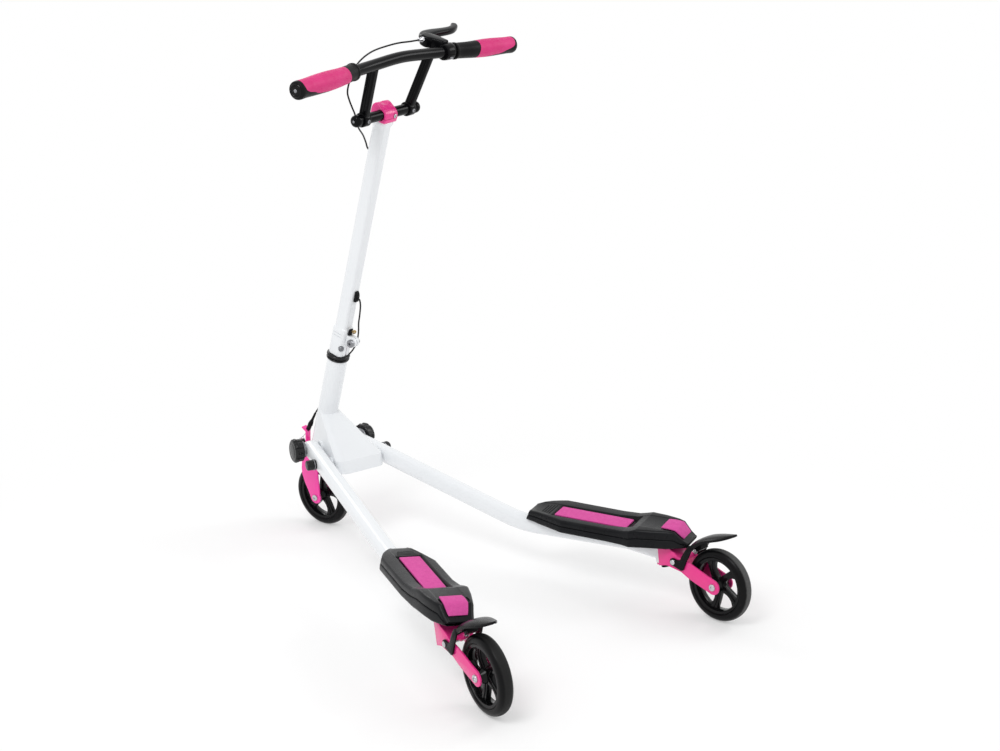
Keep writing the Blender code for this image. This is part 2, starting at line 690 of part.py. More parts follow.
def column_fittings():
    face = EAR_THICKNESS + EAR_SPLIT / 2 + SEAT_GAP
    bolt = turned([
        (0, -face - 0.0060), (EAR_HEAD_RADIUS - 0.0015, -face - 0.0060),
        (EAR_HEAD_RADIUS, -face - 0.0045), (EAR_HEAD_RADIUS, -face), (EAR_BOLT_RADIUS, -face),
        (EAR_BOLT_RADIUS, face), (0.0050, face), (0.0050, face + 0.0040), (0, face + 0.0040),
    ], 10)
    bolt = shifted(along_x(bolt), y=-EAR_REACH + 0.0075, z=EAR_UP)
    piece("column_clamp_bolt", bolt, STEERING, BLACK_PAINT)

    seat, outward = button_seat()
    button = turned([
        (0, -BUTTON_TRAVEL), (BUTTON_RADIUS, -BUTTON_TRAVEL), (BUTTON_RADIUS, 0.0026),
        (BUTTON_RADIUS - 0.0014, 0.0040), (0, 0.0042),
    ], 14)
    piece("column_button", between(button, seat, seat + outward), STEERING, BRIGHT_STEEL)

    back = -CLAMP_ZONE_DEPTH / 2 - SEAT_GAP
    hook = side_prism(
        [(back, 0.4345), (back - 0.0045, 0.4350), (back - 0.0060, 0.4375), (back - 0.0040, 0.4395),
         (back - 0.0040, 0.4430), (back - 0.0062, 0.4455), (back - 0.0045, 0.4480),
         (back - 0.0008, 0.4460), (back - 0.0008, 0.4425), (back, 0.4395)],
        -0.0062, 0.0008,
    )
    piece("cable_hook", hook, STEERING, BLACK_PLASTIC)


# Fork: crown, steerer, two tapered blades and the bracket that holds the brake cable
def fork():
    half = FORK_INNER_HALF + BLADE_THICKNESS
    crown = prism([(-half, -CROWN_HALF_DEPTH), (half, -CROWN_HALF_DEPTH), (half, CROWN_HALF_DEPTH),
                   (-half, CROWN_HALF_DEPTH)], CROWN_LOW, CROWN_TOP)
    body = piece("fork", crown, STEERING, PINK_PAINT)
    soften(body, 0.0040, 2)
    axle = (FORK_OFFSET, AXLE_UP)
    outline = [(CROWN_HALF_DEPTH - 0.0010, CROWN_TOP - 0.006), (CROWN_HALF_DEPTH - 0.0010, 0.1310),
               (0.0147, 0.1084), (0.0010, 0.0900), (-0.0120, 0.0760)]
    outline += arc(axle, 0.0125, -60, -225, 5)
    outline += [(-0.0304, 0.1036), (-0.0180, 0.1342), (-CROWN_HALF_DEPTH + 0.001, 0.1500),
                (-CROWN_HALF_DEPTH + 0.001, CROWN_TOP - 0.006)]
    for name, low in (("left", -half), ("right", FORK_INNER_HALF)):
        blade = helper(f"blade_{name}", side_prism(outline, low, low + BLADE_THICKNESS), STEERING)
        combine(body, "UNION", blade)
    combine(body, "UNION", helper(
        "steerer", rod(STEERER_RADIUS, CROWN_LOW + 0.003, SOCKET_TOP - 2 * SEAT_GAP, 16), STEERING
    ))
    strip = [(0.0150, 0.1560), (0.0300, 0.1560), (0.0365, 0.1730), (0.0395, 0.1875),
             (0.0500, 0.1900), (0.0500, 0.1930), (0.0370, 0.1910), (0.0335, 0.1740),
             (0.0275, 0.1600), (0.0150, 0.1600)]
    combine(body, "UNION", helper("cable_bracket", side_prism(strip, -0.006, 0.006), STEERING))
    for name, low in (("left", -0.0095), ("right", 0.0065)):
        lug = [(0.0180, 0.1520), (0.0180, 0.1640), (0.0300, 0.1600)]
        lug += arc(BRAKE_PIVOT, 0.0060, 60, -120, 4)
        lug = helper(f"brake_lug_{name}", side_prism(lug, low, low + 0.0030), STEERING)
        combine(body, "UNION", lug)
    hole = along_x(rod(AXLE_RADIUS + SEAT_GAP, -0.04, 0.04))
    combine(body, "DIFFERENCE", helper("fork_hole", shifted(hole, y=axle[0], z=axle[1]), STEERING))
    hole = along_x(rod(0.0022 + SEAT_GAP, -0.02, 0.02, 8))
    hole = shifted(hole, y=BRAKE_PIVOT[0], z=BRAKE_PIVOT[1])
    combine(body, "DIFFERENCE", helper("brake_pin_hole", hole, STEERING))
    hole = rod(0.0026 + SEAT_GAP, -0.006, 0.006, 10)
    hole = between(hole, FERRULE_SEAT, FERRULE_TOP)
    combine(body, "DIFFERENCE", helper("ferrule_hole", hole, STEERING))


# Front brake: a spoon that presses a shoe on the tyre
def brake_arm():
    centre = (FORK_OFFSET, AXLE_UP)
    shoe_inner = WHEEL_RADIUS + SHOE_GAP
    shoe = arc(centre, shoe_inner, 34, 60, 3) + arc(centre, shoe_inner + 0.0060, 60, 34, 3)
    body = piece("brake_arm", side_prism(shoe, -0.0085, 0.0085), STEERING, BLACK_PLASTIC)
    link = arc(BRAKE_PIVOT, 0.0062, -60, 40, 4) + arc((0.0495, 0.1590), 0.0040, -40, 130, 5)
    link += arc(BRAKE_PIVOT, 0.0062, 130, 150, 2)
    link += [(0.0150, 0.1360), (0.0120, 0.1290), (0.0200, 0.1230)]
    combine(body, "UNION", helper("brake_link", side_prism(link, -0.0060, 0.0060), STEERING))
    pin = along_x(rod(0.0022, -0.0105, 0.0105, 8))
    pin = shifted(pin, y=BRAKE_PIVOT[0], z=BRAKE_PIVOT[1])
    combine(body, "UNION", helper("brake_pin", pin, STEERING))


def brake_ferrule():
    start = Vector(FERRULE_SEAT)
    end = Vector(FERRULE_TOP)
    length = (end - start).length
    shape = turned([
        (0, -0.0050), (0.0026, -0.0050), (0.0026, 0.0025), (0.0045, 0.0025), (0.0045, 0.0135),
        (0.0050, 0.0150), (0.0050, 0.0185), (0.0034, 0.0260), (0.0020, length), (0, length),
    ], 10)
    piece("brake_ferrule", between(shape, start, end), STEERING, BLACK_RUBBER)


# Handlebar, its grips, the two struts, the crossbar and the stem clamp
BAR_PATH = smooth_path([(-x, w, a) for x, w, a in reversed(BAR_ROUTE[1:])] + list(BAR_ROUTE), 2)


def bar_at(x):
    """The bar's centre where it passes x, and its heading there."""
    for start, end in zip(BAR_PATH, BAR_PATH[1:]):
        if start.x <= x <= end.x:
            break
    return start.lerp(end, (x - start.x) / (end.x - start.x)), (end - start).normalized()


def bar_part(sections, points=12):
    """A solid round the bar through (x, radius) sections."""
    rings = []
    for x, radius in sections:
        centre, heading = bar_at(min(x, BAR_HALF - 0.0005))
        centre = centre + heading * max(0.0, x - BAR_HALF + 0.0005)
        across = heading.cross(Vector((0, 0, 1))).normalized()
        above = across.cross(heading)
        rings.append([
            centre + across * radius * math.cos(2 * math.pi * step / points)
            + above * radius * math.sin(2 * math.pi * step / points)
            for step in range(points)
        ])
    return loft(rings)


def bar_tube(path, radius):
    circle = arc((0, 0), radius, 0, 330, 11)
    return sweep(path, lambda index: circle)


def bar_socket(low, high):
    """The bar's own shape a clearance wider, over the part of its route between two places."""
    path = [point for point in BAR_PATH if low - 0.045 < point.x < high + 0.045]
    if high > BAR_HALF:
        path.append(path[-1] + (path[-1] - path[-2]).normalized() * SEAT_GAP)
    return bar_tube(path, BAR_RADIUS + SEAT_GAP)


def handlebar():
    piece("handlebar", bar_tube(BAR_PATH, BAR_RADIUS), STEERING, BLACK_PAINT)


def grips():
    end = BAR_HALF + GRIP_CAP
    body = [
        (GRIP_START, GRIP_RADIUS + 0.0010), (GRIP_START + 0.0045, GRIP_RADIUS + 0.0010),
        (GRIP_START + 0.0065, GRIP_RADIUS - 0.0008), (0.165, GRIP_RADIUS - 0.0006),
        (0.200, GRIP_RADIUS + 0.0009), (0.238, GRIP_RADIUS + 0.0008),
        (BAR_HALF - 0.010, GRIP_RADIUS - 0.0002), (end - 0.0020, GRIP_RADIUS - 0.0004),
        (end, GRIP_RADIUS - 0.0030),
    ]
    inner = [(x, radius - GRIP_WALL) for x, radius in body[2:-2]]
    inner = [(GRIP_START + 0.002, inner[0][1]), *inner, (BAR_HALF - 0.003, inner[-1][1])]
    snug = [(x, radius + SEAT_GAP) for x, radius in inner]
    drop = 0.03
    for side in SIDE_SIGN:
        start = SLEEVE_START[side]
        region = [
            (start, -drop), (start + 0.003, 0.0), (start + 0.012, drop), (SLEEVE_END, drop),
            (SLEEVE_END, 0.0), (SLEEVE_END - 0.014, -0.0055), (SLEEVE_END - 0.040, -0.0100),
            (SLEEVE_END - 0.070, -0.0140), (SLEEVE_END - 0.078, -drop),
        ]
        wider = [
            (start - SEAT_GAP, -drop), (start + 0.003 - SEAT_GAP, 0.0),
            (start + 0.012 - SEAT_GAP, drop), (SLEEVE_END + SEAT_GAP, drop),
            (SLEEVE_END + SEAT_GAP, 0.0), (SLEEVE_END - 0.014, -0.0055 - SEAT_GAP),
            (SLEEVE_END - 0.040, -0.0100 - SEAT_GAP), (SLEEVE_END - 0.070, -0.0140 - SEAT_GAP),
            (SLEEVE_END - 0.078 + SEAT_GAP, -drop),
        ]
        whole = {}
        for name, outline in (("sleeve", region), ("recess", wider)):
            block = [(x, BAR_UP + a) for x, a in outline]
            block = moved(prism(block, -0.08, 0.02), Matrix((
                (1, 0, 0, 0), (0, 0, 1, 0), (0, 1, 0, 0), (0, 0, 0, 1))))
            whole[name] = helper(f"grip_{name}_block_{side}", handed(block, side), STEERING)
        core = piece(f"grip_core_{side}", handed(bar_part(body), side), STEERING, BLACK_RUBBER)
        recess = helper(f"grip_recess_{side}", handed(bar_part(
            [(body[0][0] - 0.01, 0.03), (0.20, 0.03), (end + 0.01, 0.03)]), side), STEERING)
        combine(recess, "INTERSECT", whole["recess"])
        combine(recess, "DIFFERENCE", helper(
            f"grip_inner_{side}", handed(bar_part(inner), side), STEERING))
        combine(core, "DIFFERENCE", recess)
        socket = handed(bar_socket(GRIP_START, end), side)
        combine(core, "DIFFERENCE", helper(f"grip_socket_{side}", socket, STEERING))
        sleeve = piece(f"grip_sleeve_{side}", handed(bar_part(body), side), STEERING, PINK_GRIP)
        combine(sleeve, "INTERSECT", whole["sleeve"])
        combine(sleeve, "DIFFERENCE", helper(
            f"grip_snug_{side}", handed(bar_part(snug), side), STEERING))


def crossbar():
    end = CROSSBAR_HALF
    big = CROSSBAR_END_RADIUS
    cap = [(big, end), (big, end + 0.0060), (big * 0.80, end + 0.0100), (0, end + 0.0124)]
    profile = [(CROSSBAR_RADIUS, 0.0), (CROSSBAR_RADIUS, end)] + cap
    profile = [(radius, -height) for radius, height in reversed(profile)][:-1] + profile[1:]
    shape = shifted(along_x(turned(profile, 16)), y=CROSSBAR_BACK, z=CROSSBAR_UP)
    piece("crossbar", shape, STEERING, BLACK_PAINT)


def struts():
    groove = 0.0012
    half_w = STRUT_WIDTH / 2
    half_d = STRUT_DEPTH / 2
    edge = 0.0030
    quarter = [(half_w - edge, half_d), (half_w, half_d - edge), (half_w, half_d - edge - 0.0010),
               (half_w - groove, half_d - edge - 0.0020), (half_w - groove, 0.0015), (half_w, 0.0008)]
    section = quarter + [(x, -y) for x, y in reversed(quarter)]
    section += [(-x, -y) for x, y in quarter] + [(-x, y) for x, y in reversed(quarter)]
    for side in SIDE_SIGN:
        foot = Vector((STRUT_FOOT_X, CROSSBAR_BACK, CROSSBAR_UP + 0.0023))
        top = bar_at(STRUT_TOP_X)[0] - Vector((0, 0, 0.0031))
        shape = loft([[(foot.x + x, foot.y + y, foot.z) for x, y in section],
                      [(top.x + x, top.y + y, top.z) for x, y in section]])
        strut = piece(f"strut_{side}", handed(shape, side), STEERING, BLACK_PAINT)
        eye = along_x(rod(CROSSBAR_RADIUS + 0.0032, -0.0078, 0.0078, 16))
        eye = shifted(eye, STRUT_FOOT_X, CROSSBAR_BACK, CROSSBAR_UP)
        eye = helper(f"strut_eye_{side}", handed(eye, side), STEERING)
        combine(strut, "UNION", eye)
        hole = along_x(rod(CROSSBAR_RADIUS + SEAT_GAP + 0.0001, -0.02, 0.02, 16))
        hole = shifted(hole, STRUT_FOOT_X, CROSSBAR_BACK, CROSSBAR_UP)
        combine(strut, "DIFFERENCE", helper(f"strut_hole_{side}", handed(hole, side), STEERING))
        saddle = handed(bar_socket(STRUT_TOP_X, STRUT_TOP_X), side)
        combine(strut, "DIFFERENCE", helper(f"strut_saddle_{side}", saddle, STEERING))


def stem_clamp():
    low = COLUMN_TOP + SEAT_GAP
    outline = [(0.0150, low), (0.0166, low + 0.006), (0.0172, 0.8720), (0.0165, 0.8800),
               (0.0125, 0.8865), (0.0070, 0.8885), (-0.0020, 0.8850), (-0.0110, 0.8805),
               (-0.0165, 0.8750), (-0.0180, 0.8680), (-0.0175, low + 0.003), (-0.0160, low)]
    clamp = piece(
        "stem_clamp", side_prism(outline, -CLAMP_HALF_WIDTH, CLAMP_HALF_WIDTH), STEERING, PINK_PAINT
    )
    soften(clamp, 0.0020, 1, 35)
    hole = along_x(rod(CROSSBAR_RADIUS + SEAT_GAP + 0.0001, -0.04, 0.04, 16))
    hole = shifted(hole, y=CROSSBAR_BACK, z=CROSSBAR_UP)
    combine(clamp, "DIFFERENCE", helper("clamp_bore", hole, STEERING))
    seat = along_y(rod(0.0042, -0.004, 0.0014, 12))
    combine(clamp, "DIFFERENCE", helper(
        "stem_bolt_seat", shifted(seat, x=0.0085, y=-0.0180, z=CROSSBAR_UP), STEERING))
    bolt = turned([(0, -0.0010), (0.0026, -0.0010), (0.0036, 0.0002), (0.0036, 0.0011), (0, 0.0011)], 12)
    piece("stem_bolt", shifted(along_y(bolt), x=0.0085, y=-0.0180, z=CROSSBAR_UP), STEERING,
          BRIGHT_STEEL)


# Hand brake on the right of the bar
def hand_brake():
    centre = bar_at(PERCH_X)[0]
    ring = shifted(along_x(rod(BAR_RADIUS + 0.0042, -PERCH_WIDTH / 2, PERCH_WIDTH / 2, 16)), *centre)
    perch = piece("brake_perch", ring, STEERING, BLACK_PAINT)
    low = LEVER_UP - LEVER_THICKNESS / 2 - 0.0030
    high = LEVER_UP + LEVER_THICKNESS / 2 + 0.0030
    outline = [(PERCH_X + 0.009, centre.y + 0.004), (PERCH_X + 0.0085, 0.010),
               (PERCH_X + 0.0030, 0.0250)]
    outline += arc(LEVER_PIVOT, 0.0085, 30, 120, 4)
    outline += [(0.0960, 0.0230), (0.0930, 0.0110), (0.1000, 0.0040),
                (PERCH_X - 0.009, centre.y + 0.004)]
    horn = helper("perch_horn", prism(outline, low, high), STEERING)
    soften(horn, 0.0016, 1)
    combine(perch, "UNION", horn)
    combine(perch, "DIFFERENCE", helper("perch_bore", bar_socket(PERCH_X, PERCH_X), STEERING))
    jaw = [(0.1300, 0.0040), (0.1300, 0.0400), (0.0975, 0.0400), (0.0975, 0.0080), (0.1080, 0.0080)]
    jaw = prism(jaw, low + 0.0027, high - 0.0027)
    combine(perch, "DIFFERENCE", helper("perch_jaw", jaw, STEERING))
    pin_hole = shifted(rod(0.0022 + SEAT_GAP, low - 0.01, high + 0.01, 8), *LEVER_PIVOT)
    combine(perch, "DIFFERENCE", helper("lever_pin_hole", pin_hole, STEERING))
    nose = between(rod(0.0032 + SEAT_GAP, -0.004, 0.008, 10), ADJUSTER_SEAT, ADJUSTER_END)
    combine(perch, "DIFFERENCE", helper("adjuster_hole", nose, STEERING))

    blade = [(0.1030, 0.0175, 0.0130), (0.1110, 0.0290, 0.0165), (0.1260, 0.0370, 0.0150),
             (0.1450, 0.0385, 0.0125), (0.1650, 0.0368, 0.0105), (0.1830, 0.0358, 0.0100),
             (0.1980, 0.0370, 0.0100), (0.2110, 0.0410, 0.0105), (0.2210, 0.0470, 0.0090),
             (0.2255, 0.0515, 0.0050)]
    path = smooth_path([(x, w, LEVER_UP) for x, w, width in blade], 1)

    def section(index):
        return soft_section(blade[index][2], LEVER_THICKNESS, 8, 0.6)

    lever = piece("brake_lever", sweep(path, section), STEERING, BLACK_PAINT)
    eye = helper("lever_eye", shifted(
        rod(0.0070, LEVER_UP - LEVER_THICKNESS / 2, LEVER_UP + LEVER_THICKNESS / 2), *LEVER_PIVOT),
        STEERING)
    combine(lever, "UNION", eye)
    pin = helper("lever_pin", shifted(rod(0.0022, low, high, 8), *LEVER_PIVOT), STEERING)
    combine(lever, "UNION", pin)

    start = Vector(ADJUSTER_SEAT)
    end = Vector(ADJUSTER_END)
    length = (end - start).length
    barrel = turned([
        (0, -0.0030), (0.0032, -0.0030), (0.0032, 0.0015), (ADJUSTER_RADIUS, 0.0015),
        (ADJUSTER_RADIUS, 0.0060), (0.0036, 0.0068), (0.0036, length - 0.002), (0.0026, length),
        (0, length),
    ], 10)
    piece("barrel_adjuster", between(barrel, start, end), STEERING, BRIGHT_STEEL)


# Brake cable: over the bar, into the column, out at its back and down to the fork
def cable(name, route):
    curve = bpy.data.curves.new(name, "CURVE")
    curve.dimensions = "3D"
    curve.bevel_depth = CABLE_RADIUS
    curve.bevel_resolution = 1
    curve.use_fill_caps = True
    points = spaced(smooth_path(route, 6), CABLE_RADIUS * 7)
    spline = curve.splines.new("POLY")
    spline.points.add(len(points) - 1)
    for target, point in zip(spline.points, points):
        target.co = (*point, 1)
    made = bpy.data.objects.new(name, curve)
    bpy.context.scene.collection.objects.link(made)
    made.parent = STEERING
    curve.materials.append(BLACK_PLASTIC)


def cable_grommet():
    back = -COLUMN_DEPTH / 2 - SEAT_GAP
    outline = [(back, 0.5040), (back - 0.0035, 0.5030), (back - 0.0066, 0.5060),
               (back - 0.0066, 0.5150), (back - 0.0040, 0.5230), (back, 0.5250)]
    grommet = piece("cable_grommet", side_prism(outline, -0.0048, 0.0048), STEERING, BLACK_RUBBER)
    soften(grommet, 0.0010, 1)


# Wheels
def wheel(name, parent, across_centre, tag):
    """Tyre, core and axle round the X axis of a frame, at (y, z) across_centre."""
    y, z = across_centre
    half = TYRE_HALF_WIDTH
    tyre = turned([
        (TYRE_INNER, -half + 0.0022), (WHEEL_RADIUS - 0.0090, -half),
        (WHEEL_RADIUS - 0.0032, -half + 0.0033), (WHEEL_RADIUS, -0.0026), (WHEEL_RADIUS, 0.0026),
        (WHEEL_RADIUS - 0.0032, half - 0.0033), (WHEEL_RADIUS - 0.0090, half),
        (TYRE_INNER, half - 0.0022),
    ], WHEEL_STEPS, ring=True)
    piece(f"{name}_tyre", shifted(along_x(tyre), y=y, z=z), parent, TYRE_BLACK)

    rim = RIM_HALF_WIDTH
    outer = TYRE_INNER - SEAT_GAP
    core = turned([(RIM_INNER, -rim), (outer, -rim), (outer, rim), (RIM_INNER, rim)],
                  WHEEL_STEPS, ring=True)
    core = piece(f"{name}_core", shifted(along_x(core), y=y, z=z), parent, BLACK_PLASTIC)
    hub = turned([
        (AXLE_RADIUS + SEAT_GAP, -HUB_HALF_WIDTH), (HUB_RADIUS - 0.0040, -HUB_HALF_WIDTH),
        (HUB_RADIUS, -SPOKE_HALF_THICKNESS - 0.001), (HUB_RADIUS, SPOKE_HALF_THICKNESS + 0.001),
        (HUB_RADIUS - 0.0040, HUB_HALF_WIDTH), (AXLE_RADIUS + SEAT_GAP, HUB_HALF_WIDTH),
    ], 10, ring=True)
    combine(core, "UNION", helper(f"{tag}_hub", shifted(along_x(hub), y=y, z=z), parent))
    widths = ((HUB_RADIUS - 0.003, 0.0062), (0.0200, 0.0040), (0.0340, 0.0040),
              (RIM_INNER + 0.0022, 0.0085))
    for number in range(SPOKES):
        turn = 2 * math.pi * number / SPOKES
        sides = ([], [])
        for radius, half_width in widths:
            share = (radius - widths[0][0]) / (widths[-1][0] - widths[0][0])
            angle = turn + SPOKE_SWEEP * share * share
            ahead = Vector((math.cos(angle), math.sin(angle)))
            across = Vector((-ahead.y, ahead.x))
            for points, sign in zip(sides, (1, -1)):
                points.append(tuple(ahead * radius + across * half_width * sign))
        outline = sides[0] + sides[1][::-1]
        spoke = side_prism(outline, -SPOKE_HALF_THICKNESS, SPOKE_HALF_THICKNESS)
        spoke = helper(f"{tag}_spoke_{number}", shifted(spoke, y=y, z=z), parent)
        combine(core, "UNION", spoke)


def axle(name, parent, centre, blade_inner, blade_outer):
    head = blade_outer + SEAT_GAP
    shoulder = HUB_HALF_WIDTH + SEAT_GAP
    sleeve = blade_inner - SEAT_GAP
    one_end = [(0, head + AXLE_HEAD_HEIGHT), (AXLE_HEAD_RADIUS - 0.0008, head + AXLE_HEAD_HEIGHT),
               (AXLE_HEAD_RADIUS, head), (AXLE_RADIUS, head),
               (AXLE_RADIUS, sleeve), (AXLE_RADIUS + 0.0025, sleeve), (AXLE_RADIUS + 0.0025, shoulder),
               (AXLE_RADIUS, shoulder)]
    profile = one_end + [(radius, -height) for radius, height in reversed(one_end)]
    shape = shifted(along_x(turned(profile, 8)), y=centre[0], z=centre[1])
    piece(name, shape, parent, BRIGHT_STEEL)


# Arms, with the sleeve that each caster turns in
def arm_route():
    """The arm's centre line in its pivot's frame, from the nose to the kingpin."""
    slope = math.tan(ARM_SLOPE)
    bend = Vector((0, -ARM_RUN, -ARM_RUN * slope))
    offset = Vector((KINGPIN_HALF_TRACK - PIVOT[0], KINGPIN_FORWARD - PIVOT[1], 0))
    offset.rotate(Matrix.Rotation(-ARM_SPLAY, 3, "Z"))
    end = Vector((offset.x, offset.y, bend.z + ARM_REAR_RISE))
    before = bend - bend.normalized() * BEND_REACH
    after = bend + (end - bend).normalized() * BEND_REACH
    curve = []
    for step in range(5):
        t = step / 4
        curve.append(before * (1 - t) ** 2 + bend * 2 * t * (1 - t) + after * t * t)
    return bend, end, curve


def arm_shape(grow=0.0):
    bend, end, curve = arm_route()
    up_slope = Vector((0, math.cos(ARM_SLOPE), math.sin(ARM_SLOPE)))
    path = []
    sizes = []
    for angle in (78, 48, 20):
        path.append(up_slope * ARM_NOSE * math.sin(math.radians(angle)))
        sizes.append((ARM_WIDTH, ARM_HEIGHT * math.cos(math.radians(angle))))
    path += [Vector((0, 0, 0)), bend * 0.35, bend * 0.7, *curve]
    last = curve[-1]
    path += [last.lerp(end, 0.40), last.lerp(end, 0.72)]
    neck = end + Vector((0, 0, SLEEVE_MIDDLE - end.z))
    heading = (last - end).normalized()
    path += [neck + heading * 0.024, neck + heading * 0.004]
    sizes += [(ARM_WIDTH, ARM_HEIGHT)] * (len(path) - 5)
    sizes += [(ARM_END_WIDTH, ARM_END_HEIGHT)] * 2
    return sweep(path, lambda index: soft_section(
        sizes[index][0] + 2 * grow, sizes[index][1] + 2 * grow))


def arms():
    for side in SIDE_SIGN:
        arm = piece(f"arm_{side}", handed(arm_shape(), side), PIVOT_FRAME[side], WHITE_PAINT)
        sleeve = helper(
            f"caster_sleeve_{side}", rod(SLEEVE_RADIUS, SLEEVE_LOW, SLEEVE_TOP + 0.004, 14),
            KINGPIN_FRAME[side]
        )
        combine(arm, "UNION", sleeve)
        bore = rod(KINGPIN_RADIUS + SEAT_GAP, SLEEVE_LOW - 0.03, SLEEVE_TOP + 0.03, 10)
        combine(arm, "DIFFERENCE", helper(f"kingpin_bore_{side}", bore, KINGPIN_FRAME[side]))
        clear = rod(SLEEVE_RADIUS + 0.03, SLEEVE_TOP, SLEEVE_TOP + 0.02, 12)
        combine(arm, "DIFFERENCE", helper(f"sleeve_top_cut_{side}", clear, KINGPIN_FRAME[side]))
        hole = along_x(rod(PIVOT_BOLT_RADIUS + SEAT_GAP, -0.03, 0.03))
        hole = helper(f"arm_pivot_hole_{side}", handed(hole, side), PIVOT_FRAME[side])
        combine(arm, "DIFFERENCE", hole)
        hole = shifted(along_x(rod(INDEX_PIN_RADIUS + SEAT_GAP, -0.03, 0.03)), **INDEX_PLACE)
        hole = helper(f"index_hole_{side}", handed(hole, side), PIVOT_FRAME[side])
        combine(arm, "DIFFERENCE", hole)


def pivots():
    face = ARM_WIDTH / 2 + SEAT_GAP
    for side in SIDE_SIGN:
        bolt = turned([
            (0, -PIVOT_BOLT_DEPTH), (PIVOT_BOLT_RADIUS, -PIVOT_BOLT_DEPTH), (PIVOT_BOLT_RADIUS, face),
            (SPACER_RADIUS - 0.001, face), (SPACER_RADIUS, face + 0.0010),
            (SPACER_RADIUS, SPACER_OUTER - 0.0010), (SPACER_RADIUS - 0.001, SPACER_OUTER),
            (PIVOT_BOLT_RADIUS, SPACER_OUTER), (PIVOT_BOLT_RADIUS, 0.0300), (0, 0.0300),
        ], 12)
        piece(f"pivot_bolt_{side}", handed(along_x(bolt), side), PIVOT_FRAME[side], GREY_STEEL)

        inner = SPACER_OUTER + SEAT_GAP
        dome = turned([
            (0, inner + 0.0105), (KNOB_RADIUS, inner + 0.0105),
            (KNOB_RADIUS - 0.0006, KNOB_OUTER - 0.0035), (KNOB_RADIUS - 0.0045, KNOB_OUTER - 0.0004),
            (0, KNOB_OUTER),
        ], 18)
        knob = piece(f"pivot_knob_{side}", handed(along_x(dome), side), PIVOT_FRAME[side],
                     BLACK_PLASTIC)
        flutes = []
        for step in range(KNOB_FLUTES * 4):
            angle = 2 * math.pi * (step + 0.5) / (KNOB_FLUTES * 4)
            radius = KNOB_RADIUS - 0.0024 + (0.0010 if step % 4 < 2 else -0.0010)
            flutes.append((radius * math.cos(angle), radius * math.sin(angle)))
        grip = along_x(prism(flutes, inner, inner + 0.0115))
        combine(knob, "UNION", helper(f"knob_grip_{side}", handed(grip, side), PIVOT_FRAME[side]))
        hole = along_x(rod(PIVOT_BOLT_RADIUS + SEAT_GAP, inner - 0.01, 0.0300 + SEAT_GAP))
        hole = helper(f"knob_hole_{side}", handed(hole, side), PIVOT_FRAME[side])
        combine(knob, "DIFFERENCE", hole)

        pin = turned([
            (0, -ARM_WIDTH / 2), (INDEX_PIN_RADIUS, -ARM_WIDTH / 2), (INDEX_PIN_RADIUS, face),
            (INDEX_RING_RADIUS, face), (INDEX_RING_RADIUS, face + 0.0028),
            (INDEX_KNOB_RADIUS - 0.0015, face + 0.0034), (INDEX_KNOB_RADIUS - 0.0015, face + 0.0046),
            (INDEX_KNOB_RADIUS, face + 0.0056), (INDEX_KNOB_RADIUS, INDEX_KNOB_OUTER - 0.0020),
            (INDEX_KNOB_RADIUS - 0.0018, INDEX_KNOB_OUTER), (0, INDEX_KNOB_OUTER),
        ], 10)
        pin = shifted(along_x(pin), **INDEX_PLACE)
        piece(f"index_pin_{side}", handed(pin, side), PIVOT_FRAME[side], BLACK_PLASTIC)


# Footplates: moulded shells that sit on the arms, ribbed inside, with two soft pads each
def plate_top(s):
    """The height of the tread between the raised rims."""
    rim = interpolate(RIM_HEIGHT, s)
    return min(rim, PAD_SEAT) if abs(s) <= PAD_LENGTH / 2 + DISH_MARGIN + 0.0005 else rim - 0.0008


def plate_section(s):
    rim = interpolate(RIM_HEIGHT, s)
    low = interpolate(SKIRT_LOW, s)
    top = plate_top(s)
    pad_half = PAD_WIDTH / 2 + DISH_MARGIN
    groove = low + (rim - low) * 0.52
    halves = []
    for edge, sign in ((interpolate(OUTER_EDGE, s), 1), (interpolate(INNER_EDGE, s), -1)):
        dish = min(pad_half, edge - 0.0085)
        halves.append([(sign * x, z) for x, z in (
            (edge - 0.0030, low), (edge, low + 0.0025), (edge, groove - 0.0012),
            (edge - 0.0022, groove), (edge - 0.0006, groove + 0.0012), (edge - 0.0020, rim - 0.0022),
            (edge - 0.0050, rim), (dish + 0.0025, rim), (dish, top),
        )])
    return halves[0] + halves[1][::-1]


